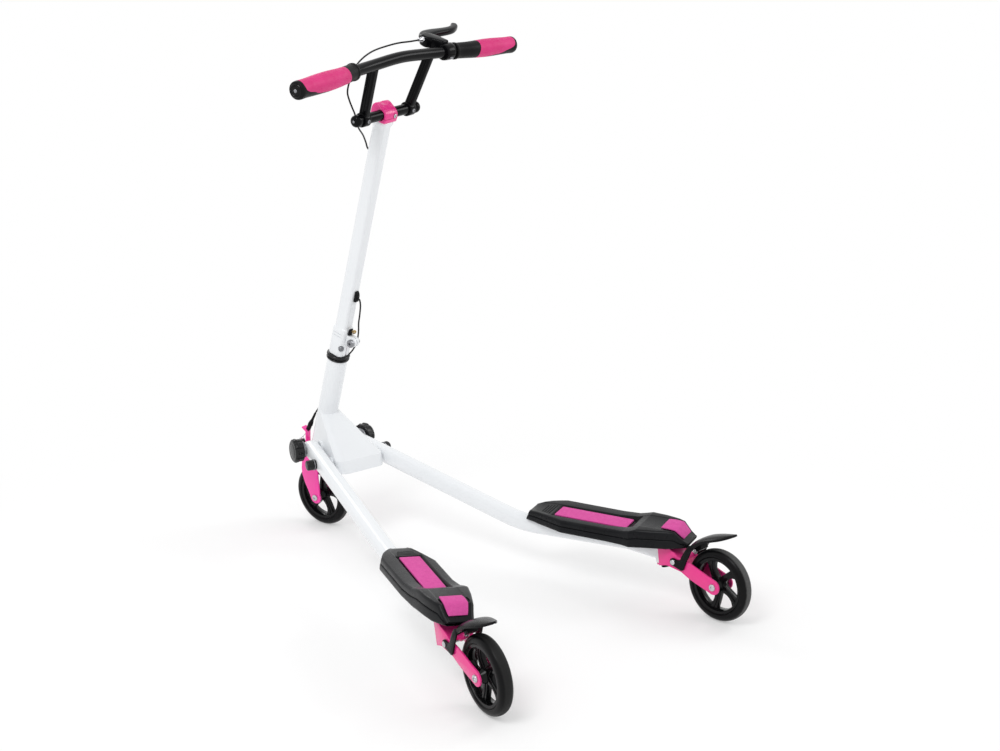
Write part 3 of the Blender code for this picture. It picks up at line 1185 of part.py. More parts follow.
def footplates():
    for side in SIDE_SIGN:
        rings = []
        for s in PLATE_STATIONS:
            lean = 0.0065 if s == PLATE_STATIONS[0] else 0.0
            section = plate_section(s)
            high = max(z for x, z in section)
            low = min(z for x, z in section)
            rings.append([(x, -s + lean * (high - z) / (high - low), z) for x, z in section])
        plate = piece(f"footplate_{side}", handed(loft(rings), side), PLATE_FRAME[side], PLATE_PLASTIC)
        seat = helper(f"arm_channel_{side}", handed(arm_shape(SEAT_GAP), side), PIVOT_FRAME[side])
        combine(plate, "DIFFERENCE", seat)
        cells = ((-0.104, -0.066), (-0.062, -0.026), (-0.022, 0.014), (0.018, 0.054), (0.058, 0.092))
        for number, (front, rear) in enumerate(cells):
            for name, table, sign in (("outer", OUTER_EDGE, 1), ("inner", INNER_EDGE, -1)):
                near = 0.0190
                far = [interpolate(table, s) - PLATE_WALL - 0.0022 for s in (front, rear)]
                far = [max(reach, near + 0.0030) for reach in far]
                outline = [(sign * near, -front), (sign * far[0], -front), (sign * far[1], -rear),
                           (sign * near, -rear)]
                cell = prism(outline, -0.040, -PLATE_ROOF)
                cell = helper(f"plate_cell_{name}_{number}_{side}", handed(cell, side),
                              PLATE_FRAME[side])
                combine(plate, "DIFFERENCE", cell)
        yoke_well = rod(YOKE_CLEAR, SLEEVE_LOW - 0.01, SLEEVE_TOP + YOKE_PLATE + RUN_GAP, 14)
        combine(plate, "DIFFERENCE", helper(f"yoke_well_{side}", yoke_well, KINGPIN_FRAME[side]))
        well = rod(KINGPIN_HEAD_RADIUS + 0.0030, SLEEVE_TOP, KINGPIN_HEAD_TOP + RUN_GAP, 12)
        combine(plate, "DIFFERENCE", helper(f"kingpin_well_{side}", well, KINGPIN_FRAME[side]))

        half_w = PAD_WIDTH / 2
        half_l = PAD_LENGTH / 2
        pad = prism([(-half_w + 0.001, -half_l), (half_w, -half_l + 0.001), (half_w, half_l),
                     (-half_w, half_l)], PAD_SEAT + SEAT_GAP, PAD_SEAT + SEAT_GAP + PAD_THICKNESS)
        pad = piece(f"main_pad_{side}", handed(pad, side), PLATE_FRAME[side], PINK_PAD)
        soften(pad, 0.0009, 2)
        heel_pad(side)


def heel_pad(side):
    stations = (HEEL_PAD_FRONT, 0.150, HEEL_FOLD, HEEL_PAD_REAR)
    halves = (HEEL_PAD_HALF, HEEL_PAD_HALF + 0.0010, HEEL_PAD_HALF + 0.0010, HEEL_PAD_HALF - 0.0035)
    rings = []
    for s, half in zip(stations, halves):
        step = 0.002
        rise = interpolate(RIM_HEIGHT, s + step) - interpolate(RIM_HEIGHT, s - step)
        normal = Vector((0, rise / (2 * step), 1)).normalized()
        base = Vector((0, -s, plate_top(s))) + normal * SEAT_GAP * 1.3
        lid = base + normal * HEEL_PAD_THICKNESS
        rings.append([base + Vector((half, 0, 0)), base - Vector((half, 0, 0)),
                      lid - Vector((half - 0.0006, 0, 0)), lid + Vector((half - 0.0006, 0, 0))])
    piece(f"heel_pad_{side}", handed(loft(rings), side), PLATE_FRAME[side], PINK_PAD)


# Casters: kingpin, yoke, foot brake and wheel
def casters():
    axle_place = tilted(0.0, WHEEL_RADIUS)
    inner = YOKE_INNER_HALF
    outer = inner + YOKE_THICKNESS
    for side in SIDE_SIGN:
        frame = CASTER_FRAME[side]
        top = SLEEVE_TOP + SEAT_GAP
        low = SLEEVE_LOW - SEAT_GAP
        nut = low - YOKE_PLATE - SEAT_GAP
        pin = turned([
            (0, nut - KINGPIN_NUT_HEIGHT), (KINGPIN_HEAD_RADIUS - 0.001, nut - KINGPIN_NUT_HEIGHT),
            (KINGPIN_HEAD_RADIUS, nut - KINGPIN_NUT_HEIGHT + 0.001), (KINGPIN_HEAD_RADIUS, nut),
            (KINGPIN_RADIUS, nut),
            (KINGPIN_RADIUS, top + YOKE_PLATE + SEAT_GAP),
            (KINGPIN_HEAD_RADIUS, top + YOKE_PLATE + SEAT_GAP),
            (KINGPIN_HEAD_RADIUS, KINGPIN_HEAD_TOP - 0.001),
            (KINGPIN_HEAD_RADIUS - 0.0015, KINGPIN_HEAD_TOP), (0, KINGPIN_HEAD_TOP),
        ], 10)
        piece(f"kingpin_{side}", pin, frame, BLACK_PAINT)

        outline = [(0.0680, 0.0700), (0.0480, 0.0620), (0.0260, 0.0560)]
        outline += arc((0.0, WHEEL_RADIUS), 0.0130, -65, -255, 5)
        outline += [(0.0270, 0.0840), (0.0490, 0.0905), (0.0770, 0.0950), (0.0850, 0.1000)]
        outline = [tilted(s, z) for s, z in outline]
        outline += [(-0.0265, 0.0375), (-0.0190, top + YOKE_PLATE), (-0.0080, top + YOKE_PLATE),
                    (-0.0015, low - YOKE_PLATE), (-0.0185, low - YOKE_PLATE)]
        yoke = piece(f"caster_fork_{side}", side_prism(outline, inner, outer), frame, PINK_PAINT)
        combine(yoke, "UNION", helper(
            f"yoke_far_plate_{side}", side_prism(outline, -outer, -inner), frame))
        reach = inner + YOKE_THICKNESS / 2
        cap = [(-reach, -0.0180), (-reach, -0.0075)] + arc((0, 0), 0.0150, 170, 10, 5)
        cap += [(reach, -0.0075), (reach, -0.0180)]
        combine(yoke, "UNION", helper(
            f"yoke_top_{side}", prism(cap, top, top + YOKE_PLATE - 0.0001), frame))
        base = [(-reach, -0.0170), (-reach, -0.0020)] + arc((0, 0), 0.0150, 172, 8, 5)
        base += [(reach, -0.0020), (reach, -0.0170)]
        combine(yoke, "UNION", helper(
            f"yoke_base_{side}", prism(base, low - YOKE_PLATE + 0.0001, low), frame))
        web = [(-0.0165, top), (-0.0165, top + YOKE_PLATE - 0.0002), (-0.0186, top + YOKE_PLATE - 0.0002),
               (-0.0262, 0.0372)]
        web += [tilted(s, z) for s, z in ((0.0775, 0.0940), (0.0765, 0.0895), (0.0800, 0.0895))]
        web += [(-0.0250, 0.0335), (-0.0174, 0.0418)]
        combine(yoke, "UNION", helper(f"yoke_web_{side}", side_prism(web, -reach, reach), frame))
        post = [tilted(s, z) for s, z in (
            (0.0790, 0.0940), (0.0700, 0.0945), (0.0625, 0.1010), (0.0598, 0.1050), (0.0535, 0.1010),
            (0.0580, 0.0965), (0.0680, 0.0895), (0.0790, 0.0895))]
        combine(yoke, "UNION", helper(f"spring_post_{side}", side_prism(post, -0.0045, 0.0045), frame))
        bore = rod(KINGPIN_RADIUS + SEAT_GAP, low - 0.03, top + 0.03, 10)
        combine(yoke, "DIFFERENCE", helper(f"yoke_bore_{side}", bore, frame))
        hole = shifted(along_x(rod(AXLE_RADIUS + SEAT_GAP, -0.04, 0.04)), y=axle_place[0],
                       z=axle_place[1])
        combine(yoke, "DIFFERENCE", helper(f"yoke_axle_hole_{side}", hole, frame))
        pin_y, pin_z = tilted(*FENDER_PIVOT)
        hole = shifted(along_x(rod(FENDER_PIN_RADIUS + SEAT_GAP, -0.04, 0.04, 8)), y=pin_y, z=pin_z)
        combine(yoke, "DIFFERENCE", helper(f"yoke_pin_hole_{side}", hole, frame))

        fender(side, frame, outer)
        wheel(f"rear_{side}", frame, axle_place, f"rear_{side}")
        axle(f"rear_{side}_axle", frame, axle_place, inner, outer)


def fender(side, frame, yoke_outer):
    leg_inner = yoke_outer + RUN_GAP
    leg_outer = leg_inner + FENDER_LEG
    route = ((0.0520, 0.1175, 0.0085), (0.0480, 0.1235, 0.0085), (0.0390, 0.1315, 0.0080),
             (0.0250, 0.1400, 0.0070), (0.0080, 0.1465, 0.0060), (-0.0080, 0.1515, 0.0045),
             (-0.0200, 0.1550, 0.0036), (-0.0280, 0.1575, 0.0030))
    half_widths = (leg_outer - 0.0004, leg_outer - 0.0004, leg_outer - 0.0006, leg_outer - 0.0014,
                   0.0210, 0.0165, 0.0090, 0.0022)
    rings = []
    for index, (s, z, thick) in enumerate(route):
        near = route[max(0, index - 1)]
        far = route[min(len(route) - 1, index + 1)]
        heading = Vector((far[0] - near[0], far[1] - near[1])).normalized()
        above = Vector((heading.y, -heading.x))
        if above.y < 0:
            above = -above
        half = half_widths[index]
        ring = []
        for share, lift in ((-1, -0.0040), (-0.6, -0.0008), (0, 0), (0.6, -0.0008), (1, -0.0040)):
            ring.append((share * half, lift + thick / 2))
        for share, lift in ((0.96, -0.0044), (0.6, -0.0016), (0, -0.0008), (-0.6, -0.0016), (-0.96, -0.0044)):
            ring.append((share * half, lift - thick / 2))
        points = []
        for x, lift in ring:
            place = tilted(s + above.x * lift, z + above.y * lift)
            points.append((x, *place))
        rings.append(points)
    body = piece(f"fender_{side}", loft(rings), frame, BLACK_PLASTIC)
    leg = arc(FENDER_PIVOT, 0.0070, 100, -70, 5) + [(0.0760, 0.0760)]
    leg += arc((0.0660, 0.0800), 0.0060, -60, -180, 3)
    leg += [(0.0540, 0.0960), (0.0485, 0.1080), (0.0455, 0.1200), (0.0500, 0.1240), (0.0575, 0.1150),
            (0.0640, 0.1040), (0.0690, 0.0930), (0.0760, 0.0900)]
    leg = [tilted(s, z) for s, z in leg]
    for name, low in (("near", leg_inner), ("far", -leg_outer)):
        combine(body, "UNION", helper(
            f"fender_leg_{name}_{side}", side_prism(leg, low, low + FENDER_LEG), frame))
    centre = (0.0, WHEEL_RADIUS)
    shoe = arc(centre, WHEEL_RADIUS + REAR_SHOE_GAP, 47, 58, 3) + arc(centre, 0.0765, 58, 47, 3)
    shoe = side_prism([tilted(s, z) for s, z in shoe], -0.0090, 0.0090)
    combine(body, "UNION", helper(f"fender_shoe_{side}", shoe, frame))
    foot = Vector((0, *tilted(*SPRING_FOOT)))
    head = Vector((0, *tilted(*SPRING_HEAD)))
    along = (head - foot).normalized()
    coil_length = SPRING_TURNS * SPRING_PITCH + 2 * SPRING_WIRE
    seat = foot + along * (coil_length + 2 * SEAT_GAP)
    boss = between(rod(SPRING_RADIUS + SPRING_WIRE, 0, 0.0065, 10), seat, seat + along)
    combine(body, "UNION", helper(f"spring_boss_{side}", boss, frame))
    pin_y, pin_z = tilted(*FENDER_PIVOT)
    hole = shifted(along_x(rod(FENDER_PIN_RADIUS + SEAT_GAP, -0.04, 0.04, 8)), y=pin_y, z=pin_z)
    combine(body, "DIFFERENCE", helper(f"fender_hole_{side}", hole, frame))

    coil = []
    steps = SPRING_STEPS * SPRING_TURNS
    for step in range(steps + 1):
        angle = 2 * math.pi * step / SPRING_STEPS
        rise = SPRING_WIRE + SPRING_PITCH * step / SPRING_STEPS
        coil.append((SPRING_RADIUS * math.cos(angle), SPRING_RADIUS * math.sin(angle), rise))
    wire = arc((0, 0), SPRING_WIRE, 0, 288, 4)
    base = foot + along * SEAT_GAP
    self_gap = min(
        (Vector(one) - Vector(other)).length - 2 * SPRING_WIRE
        for index, one in enumerate(coil) for other in coil[index + SPRING_STEPS // 2:]
    )
    print(f"fender_spring_{side}: least gap to itself {self_gap * 1000:.2f} mm")
    spring = between(sweep(coil, lambda index: wire), base, base + along)
    piece(f"fender_spring_{side}", spring, frame, BRIGHT_STEEL)

    face = leg_outer + SEAT_GAP
    pin = turned([
        (0, -face - 0.0022), (0.0042, -face - 0.0022), (0.0048, -face - 0.0010), (0.0048, -face),
        (FENDER_PIN_RADIUS, -face), (FENDER_PIN_RADIUS, face), (0.0048, face), (0.0048, face + 0.0010),
        (0.0042, face + 0.0022), (0, face + 0.0022),
    ], 10)
    piece(f"fender_pin_{side}", shifted(along_x(pin), y=pin_y, z=pin_z), frame, BRIGHT_STEEL)


main_frame()
headset()
fork()
steering_column()
column_fittings()
stem_clamp()
crossbar()
struts()
handlebar()
grips()
hand_brake()
cable("brake_cable_upper", UPPER_CABLE)
cable("brake_cable_lower", LOWER_CABLE)
cable_grommet()
brake_arm()
brake_ferrule()
wheel("front", STEERING, (FORK_OFFSET, AXLE_UP), "front")
axle("front_axle", STEERING, (FORK_OFFSET, AXLE_UP), FORK_INNER_HALF, FORK_INNER_HALF + BLADE_THICKNESS)
arms()
pivots()
footplates()
casters()
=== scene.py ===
import json
import math
import bpy
from mathutils import Matrix, Vector


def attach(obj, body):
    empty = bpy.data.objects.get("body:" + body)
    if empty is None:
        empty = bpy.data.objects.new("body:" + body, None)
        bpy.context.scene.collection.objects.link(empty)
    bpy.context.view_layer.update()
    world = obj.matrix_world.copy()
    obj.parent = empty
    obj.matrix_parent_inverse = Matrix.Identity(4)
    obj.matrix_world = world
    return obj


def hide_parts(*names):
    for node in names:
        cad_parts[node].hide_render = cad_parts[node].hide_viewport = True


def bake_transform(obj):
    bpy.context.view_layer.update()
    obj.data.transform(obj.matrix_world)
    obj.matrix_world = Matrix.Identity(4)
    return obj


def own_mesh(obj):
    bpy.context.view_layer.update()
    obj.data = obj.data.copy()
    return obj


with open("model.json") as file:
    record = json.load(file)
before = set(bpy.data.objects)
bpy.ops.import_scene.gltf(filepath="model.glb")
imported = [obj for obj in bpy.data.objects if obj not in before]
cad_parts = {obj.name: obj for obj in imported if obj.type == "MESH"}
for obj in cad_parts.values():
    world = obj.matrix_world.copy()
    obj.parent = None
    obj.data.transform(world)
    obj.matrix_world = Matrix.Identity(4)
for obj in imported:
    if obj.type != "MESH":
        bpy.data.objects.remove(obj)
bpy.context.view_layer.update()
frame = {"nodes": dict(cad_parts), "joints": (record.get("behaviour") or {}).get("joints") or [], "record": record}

nodes = frame["nodes"]
print("frame loaded:", len(nodes), "CAD nodes")


# The photograph's camera, left behind the rider and a little above the grips
camera = {"place": (-1.5954, -1.9718, 1.0769), "tilt": 74.80, "turn": -40.91, "lens": 55.015,
          "sensor": 36, "far": 200}
bpy.ops.object.camera_add(
    location=camera["place"],
    rotation=(math.radians(camera["tilt"]), 0, math.radians(camera["turn"])))
bpy.context.scene.camera = bpy.context.object
bpy.context.object.data.lens = camera["lens"]
bpy.context.object.data.sensor_width = camera["sensor"]
bpy.context.object.data.clip_end = camera["far"]


# Node trees. Wire is a socket that does arithmetic, Nodes is one tree, Look one material.
class Wire:
    def __init__(self, owner, socket):
        self.owner = owner
        self.socket = socket

    def __add__(self, other):
        return self.owner.node("ShaderNodeMath", {"operation": "ADD"}, {0: self, 1: other})

    def __mul__(self, other):
        return self.owner.node("ShaderNodeMath", {"operation": "MULTIPLY"}, {0: self, 1: other})


class Nodes:
    def __init__(self, owner):
        owner.use_nodes = True
        self.tree = owner.node_tree
        self.tree.nodes.clear()

    def node(self, kind, settings={}, inputs={}, out=0):
        made = self.tree.nodes.new(kind)
        for key, value in settings.items():
            setattr(made, key, value)
        for key, value in inputs.items():
            if isinstance(value, Wire):
                self.tree.links.new(value.socket, made.inputs[key])
            else:
                made.inputs[key].default_value = value
        return Wire(self, made.outputs[out] if made.outputs else None)

    # Where a point is on the object, before it moves
    def spot(self):
        return self.node("ShaderNodeTexCoord", out=3)


class Look(Nodes):
    def __init__(self, name, roughness, metallic=0.0, coat=0.0, coatRoughness=0.1, specular=0.5):
        self.material = bpy.data.materials.new(name)
        super().__init__(self.material)
        surface = self.node("ShaderNodeBsdfPrincipled", inputs={
            "Roughness": roughness, "Metallic": metallic, "Coat Weight": coat,
            "Coat Roughness": coatRoughness, "Specular IOR Level": specular})
        self.shader = surface.socket.node
        self.node("ShaderNodeOutputMaterial", inputs={"Surface": surface})

    def feed(self, name, wire):
        self.tree.links.new(wire.socket, self.shader.inputs[name])

    def noise(self, scale, detail=2.0, rough=0.5):
        return self.node("ShaderNodeTexNoise", inputs={
            "Vector": self.spot(), "Scale": scale, "Detail": detail, "Roughness": rough})

    def cells(self, scale):
        return self.node("ShaderNodeTexVoronoi", {"feature": "SMOOTH_F1"}, {
            "Vector": self.spot(), "Scale": scale})

    def ranged(self, wire, low, high, outLow=0.0, outHigh=1.0):
        return self.node("ShaderNodeMapRange", inputs={
            "Value": wire, "From Min": low, "From Max": high, "To Min": outLow, "To Max": outHigh})

    def blended(self, share, first, second):
        return self.node("ShaderNodeMix", {"data_type": "RGBA"}, {
            "Factor": share, 6: first if isinstance(first, Wire) else (*first, 1),
            7: (*second, 1)}, out=2)

    # Two tones in soft patches, of a size that the noise gives
    def toned(self, noise, colour, shade, high=0.65):
        return self.blended(self.ranged(noise, 0.35, high), colour, shade)

    def dulled(self, noise, roughness, least, most):
        self.feed("Roughness", self.ranged(noise, 0.3, 0.7, roughness * least, roughness * most))

    def bump(self, height, strength, distance):
        self.feed("Normal", self.node("ShaderNodeBump", inputs={
            "Strength": strength, "Distance": distance, "Height": height}))


# Gloss paint: fine orange peel, a faint change of tone, and handling marks that dull it a little
def paintLook(name, colour, shade, roughness, coat=0.5, specular=0.5, peel=0.02):
    look = Look(name, roughness, coat=coat, coatRoughness=0.06, specular=specular)
    look.feed("Base Color", look.toned(look.noise(6), colour, shade))
    look.dulled(look.noise(75, 3.0), roughness, 0.94, 1.08)
    look.bump(look.noise(650, 1.0), peel, 0.0002)
    return look.material


# Moulded plastic or rubber: spark-eroded grain, and a tone that shifts slightly over the piece
def mouldedLook(name, colour, shade, roughness, grain=1600, depth=0.25, distance=0.00012,
                specular=0.25):
    look = Look(name, roughness, specular=specular)
    look.feed("Base Color", look.toned(look.noise(30, 3.0), colour, shade))
    look.dulled(look.noise(120, 3.0), roughness, 0.85, 1.2)
    look.bump(look.cells(grain) * 0.7 + look.noise(grain * 0.6) * 0.5, depth, distance)
    return look.material


# Foam pad: dense skin with a pebbled press pattern, and painted shade that makes it slightly darker in the low
# grooves between the pebbles
def padLook(name, colour, shade, roughness):
    look = Look(name, roughness, specular=0.3)
    pebbles = look.cells(520)
    mottle = look.noise(150, 4.0, 0.6)
    # Painted shade: crest is the share, up to 0.35, by which the colour is mixed towards a darker 0.72 of itself
    # in the low grooves between the pebbles
    crest = look.ranged(pebbles, 0.15, 0.6, 0.0, 0.35)
    body = look.toned(mottle, colour, shade)
    look.feed("Base Color", look.blended(crest, body, [part * 0.72 for part in colour]))
    look.dulled(mottle, roughness, 0.9, 1.15)
    look.bump(look.ranged(pebbles, 0.0, 0.7, 1.0, 0.0) + mottle * 0.3, 0.45, 0.0003)
    return look.material


# Bare metal: fine turned marks and soft smudges
def metalLook(name, colour, shade, roughness):
    look = Look(name, roughness, 1.0)
    marks = look.noise(900, 3.0, 0.6)
    look.feed("Base Color", look.toned(look.noise(160, 3.0), colour, shade, 0.7))
    look.dulled(marks, roughness, 0.7, 1.4)
    look.bump(marks, 0.08, 0.0001)
    return look.material


looks = {
    "white_paint": paintLook(
        "whitePaint", (0.82, 0.84, 0.86), (0.805, 0.826, 0.848), 0.24, peel=0.008),
    "pink_paint": paintLook(
        "pinkPaint", (0.84, 0.040, 0.27), (0.80, 0.035, 0.25), 0.24, 0.3, 0.3),
    "fork_paint": paintLook(
        "forkPaint", (0.95, 0.058, 0.39), (0.92, 0.050, 0.365), 0.24, 0.3, 0.3),
    "black_paint": paintLook(
        "blackPaint", (0.0025, 0.0025, 0.003), (0.004, 0.004, 0.0048), 0.13, 0.0, 0.085),
    "pink_grip": mouldedLook(
        "pinkGrip", (0.68, 0.036, 0.205), (0.63, 0.030, 0.18), 0.50, 900, 0.2, 0.00015),
    "black_plastic": mouldedLook(
        "blackPlastic", (0.004, 0.004, 0.0048), (0.006, 0.006, 0.007), 0.26, depth=0.12,
        specular=0.11),
    "black_rubber": mouldedLook(
        "blackRubber", (0.004, 0.004, 0.0045), (0.007, 0.007, 0.0075), 0.42, 1100, 0.2,
        specular=0.10),
    "plate_plastic": mouldedLook(
        "platePlastic", (0.0045, 0.0048, 0.006), (0.007, 0.0075, 0.009), 0.30, 1300, 0.16,
        0.00015, 0.14),
    "knob_plastic": mouldedLook(
        "knobPlastic", (0.006, 0.006, 0.007), (0.009, 0.009, 0.010), 0.24, depth=0.12,
        specular=0.28),
    "tyre_black": mouldedLook(
        "tyreBlack", (0.006, 0.006, 0.0065), (0.009, 0.009, 0.0095), 0.30, specular=0.12),
    "core_gloss": mouldedLook(
        "coreGloss", (0.003, 0.003, 0.0035), (0.005, 0.005, 0.0055), 0.14, 500, 0.03,
        specular=0.16),
    "pink_pad": padLook("pinkPad", (0.70, 0.085, 0.36), (0.64, 0.070, 0.32), 0.72),
    "bright_steel": metalLook("brightSteel", (0.60, 0.60, 0.62), (0.50, 0.50, 0.52), 0.24),
    "grey_steel": metalLook("greySteel", (0.30, 0.305, 0.32), (0.22, 0.225, 0.24), 0.32),
    "brass": metalLook("springBrass", (0.62, 0.45, 0.18), (0.50, 0.35, 0.13), 0.30),
}
for node in frame["record"]["subparts"]:
    mesh = nodes[node["node"]].data
    mesh.materials.clear()
    mesh.materials.append(looks[node["material_slot"]])
print("materials made:", len(looks))


# Frames that the pieces are modelled in, as the CAD has them. Lengths are in metres, apart from
# those inside mm().
def rotated(degrees, axis):
    return Matrix.Rotation(math.radians(degrees), 4, axis)


def moved(*place):
    return Matrix.Translation(place)


def mm(*points):
    return [tuple(part / 1000 for part in point) for point in points]


wheelRadius = 0.0625
lean = {"steered": 14.1, "splay": 14.0, "kingpin": 17.7, "left": -10.2, "right": 3.2}
kingpinSpot = (0.2437, -0.2905)
joints = {joint["name"]: joint for joint in frame["joints"]}
steerPlace, steerAxis = joints["steer"]["pos_m"], joints["steer"]["axis"]
steerFoot = Vector(steerPlace) - Vector(steerAxis) * (steerPlace[2] / steerAxis[2])
headFrame = moved(*steerFoot) @ Matrix.Rotation(math.asin(-steerAxis[1]), 4, "X")
steering = headFrame @ rotated(lean["steered"], "Z")
homes = dict.fromkeys(("steering", "lever", "button", "front_brake"), steering)
sides = {"left": -1, "right": 1}
pivotFrames, kingpinFrames, casterFrames, plateFrames = {}, {}, {}, {}
for side, sign in sides.items():
    pivot = moved(*joints[f"fold_{side}"]["pos_m"])
    pivotFrames[side] = pivot @ rotated(sign * lean["splay"], "Z")
    kingpin = moved(sign * kingpinSpot[0], kingpinSpot[1], wheelRadius)
    kingpinFrames[side] = kingpin @ rotated(-lean["kingpin"], "X")
    casterFrames[side] = kingpinFrames[side] @ rotated(lean[side], "Z")


# How a piece modelled for the right side stands on either side
def handed(frames, side):
    return {"matrix": frames[side], "flipped": side == "left"}


# Modelling by hand: lines drawn point by point, pushed, spun and cut
def deselect():
    if bpy.context.object and bpy.context.object.mode != "OBJECT":
        bpy.ops.object.mode_set(mode="OBJECT")
    bpy.ops.object.select_all(action="DESELECT")


def choose(*pieces):
    deselect()
    for piece in pieces:
        piece.select_set(True)
    bpy.context.view_layer.objects.active = pieces[-1]


def enter(piece, what="SELECT"):
    choose(piece)
    bpy.ops.object.mode_set(mode="EDIT")
    bpy.ops.mesh.select_all(action=what)


def leave():
    bpy.ops.object.mode_set(mode="OBJECT")
    return bpy.context.object


def outward():
    bpy.ops.mesh.select_all(action="SELECT")
    bpy.ops.mesh.normals_make_consistent(inside=False)


# Points closer than this are one point: as drawn, after a spin, and in the finished mesh
nearness = {"drawn": 0.000001, "spun": 0.000002, "finished": 0.000004}


def weld(stage):
    bpy.ops.mesh.select_all(action="SELECT")
    bpy.ops.mesh.remove_doubles(threshold=nearness[stage])


def placed(piece, matrix, flipped=False):
    choose(piece)
    mirror = Matrix.Scale(-1, 4, (1, 0, 0)) if flipped else Matrix()
    piece.matrix_world = matrix @ mirror @ piece.matrix_world
    bpy.ops.object.transform_apply(location=True, rotation=True, scale=True)
    if flipped:
        enter(piece)
        outward()
        leave()
    return piece


def shifted(piece, *place):
    return placed(piece, moved(*place))


# Set on the line from one point to another, with its Z axis along it
def aimed(piece, start, end):
    heading = Vector(end) - Vector(start)
    turn = heading.to_track_quat("Z", "Y").to_matrix().to_4x4()
    return placed(piece, moved(*start) @ turn)


def bevelled(piece, width, segments, angle=35):
    choose(piece)
    bpy.ops.object.modifier_add(type="BEVEL")
    step = piece.modifiers[-1]
    step.width = width
    step.segments = segments
    step.limit_method = "ANGLE"
    step.angle_limit = math.radians(angle)
    bpy.ops.object.modifier_apply(modifier=step.name)
    return piece


# What every raw solid may ask for: its edges bevelled, a shift, and then a frame to stand in
def posed(piece, bevel=None, at=None, matrix=None, flipped=False):
    if bevel:
        bevelled(piece, *bevel)
    if at:
        shifted(piece, *at)
    if matrix is not None:
        placed(piece, matrix, flipped)
    return piece


def drawLoops(loops, closed=True):
    deselect()
    for number, points in enumerate(loops):
        bpy.ops.mesh.primitive_plane_add(size=0.002, location=(0, 0, 0))
        if number == 0:
            bpy.ops.object.mode_set(mode="EDIT")
        bpy.ops.mesh.merge(type="CENTER")
        bpy.ops.transform.translate(value=points[0])
        route = [*points, points[0]] if closed else points
        for start, end in zip(route, route[1:]):
            bpy.ops.mesh.extrude_vertices_move(
                TRANSFORM_OT_translate={"value": tuple(Vector(end) - Vector(start))})
    weld("drawn")
    return bpy.context.object


# A flat outline in one plane, pushed to a thickness along the plane's normal
def slab(outline, low, high, along="Z", **pose):
    order = {"Z": lambda a, b, up: (a, b, up), "X": lambda a, b, up: (up, a, b),
             "Y": lambda a, b, up: (a, up, b)}[along]
    drawLoops([[order(a, b, low) for a, b in outline]])
    bpy.ops.mesh.edge_face_add()
    bpy.ops.mesh.extrude_region_move(TRANSFORM_OT_translate={"value": order(0, 0, high - low)})
    outward()
    return posed(leave(), **pose)


# A profile of (radius, height) spun round an axis. A ring's profile is closed.
def spun(profile, axis="Z", steps=48, ring=False, **pose):
    order = {"Z": lambda r, h: (r, 0, h), "X": lambda r, h: (h, r, 0)}[axis]
    drawLoops([[order(r, h) for r, h in profile]], closed=ring)
    bpy.ops.mesh.spin(steps=steps, angle=2 * math.pi, center=(0, 0, 0), axis=order(0, 1))
    weld("spun")
    outward()
    return posed(leave(), **pose)


# A skin bridged from each closed loop to the next, with its two ends filled
def skinned(loops, **pose):
    made = drawLoops(loops)
    leave()
    size = len(loops[0])
    for number in range(len(loops) - 1):
        enter(made, "DESELECT")
        leave()
        for index in range(number * size, (number + 2) * size):
            made.data.vertices[index].select = True
        bpy.ops.object.mode_set(mode="EDIT")
        bpy.ops.mesh.bridge_edge_loops()
    bpy.ops.mesh.select_all(action="SELECT")
    bpy.ops.mesh.fill_holes(sides=0)
    outward()
    return posed(leave(), **pose)


def rodded(radius, low, high, axis="Z", steps=40, **pose):
    deselect()
    bpy.ops.mesh.primitive_cylinder_add(
        vertices=steps, radius=radius, depth=high - low, location=(0, 0, (low + high) / 2))
    made = bpy.context.object
    bpy.ops.object.transform_apply(location=True, rotation=True, scale=True)
    if axis != "Z":
        placed(made, rotated(90, "Y") if axis == "X" else rotated(-90, "X"))
    return posed(made, **pose)


# A round tube along a smooth route
def piped(points, radius, sides, fine):
    deselect()
    bpy.ops.curve.primitive_bezier_curve_add(location=(0, 0, 0))
    made = bpy.context.object
    route = made.data
    route.dimensions = "3D"
    route.splines.clear()
    spline = route.splines.new("BEZIER")
    spline.bezier_points.add(len(points) - 1)
    spots = [Vector(point) for point in points]
    spots = [2 * spots[0] - spots[1], *spots, 2 * spots[-1] - spots[-2]]
    for number, knot in enumerate(spline.bezier_points):
        knot.handle_left_type = knot.handle_right_type = "FREE"
        knot.co = spots[number + 1]
        lead = (spots[number + 2] - spots[number]) / 6
        knot.handle_left, knot.handle_right = knot.co - lead, knot.co + lead
        knot.radius = 1.0
    route.bevel_depth = radius
    route.bevel_resolution = sides
    route.resolution_u = fine
    route.render_resolution_u = 0
    route.use_fill_caps = True
    return made


def meshed(piece):
    choose(piece)
    bpy.ops.object.convert(target="MESH")
    enter(bpy.context.object)
    weld("spun")
    outward()
    return leave()


def combined(kind, piece, tools):
    for tool in tools:
        choose(piece)
        bpy.ops.object.modifier_add(type="BOOLEAN")
        step = piece.modifiers[-1]
        step.operation = kind
        step.object = tool
        step.solver = "MANIFOLD"
        bpy.ops.object.modifier_apply(modifier=step.name)
        choose(tool)
        bpy.ops.object.delete()
    return piece


def cut(piece, *tools):
    return combined("DIFFERENCE", piece, tools)


def add(piece, *tools):
    return combined("UNION", piece, tools)


def common(piece, tool):
    return combined("INTERSECT", piece, [tool])


def copied(piece):
    choose(piece)
    bpy.ops.object.duplicate(linked=False)
    return bpy.context.object


def arc(centre, radius, start, end, steps):
    angles = [math.radians(start + (end - start) * step / steps) for step in range(steps + 1)]
    return [(centre[0] + radius * math.cos(a), centre[1] + radius * math.sin(a)) for a in angles]


def roundedBox(width, depth, corner, steps=7):
    points = []
    for across, along, start in ((1, 1, 0), (-1, 1, 90), (-1, -1, 180), (1, -1, 270)):
        centre = (across * (width / 2 - corner), along * (depth / 2 - corner))
        points += arc(centre, corner, start, start + 90, steps)
    return points


def box(x, y, farX, farY):
    return [(x, y), (farX, y), (farX, farY), (x, farY)]


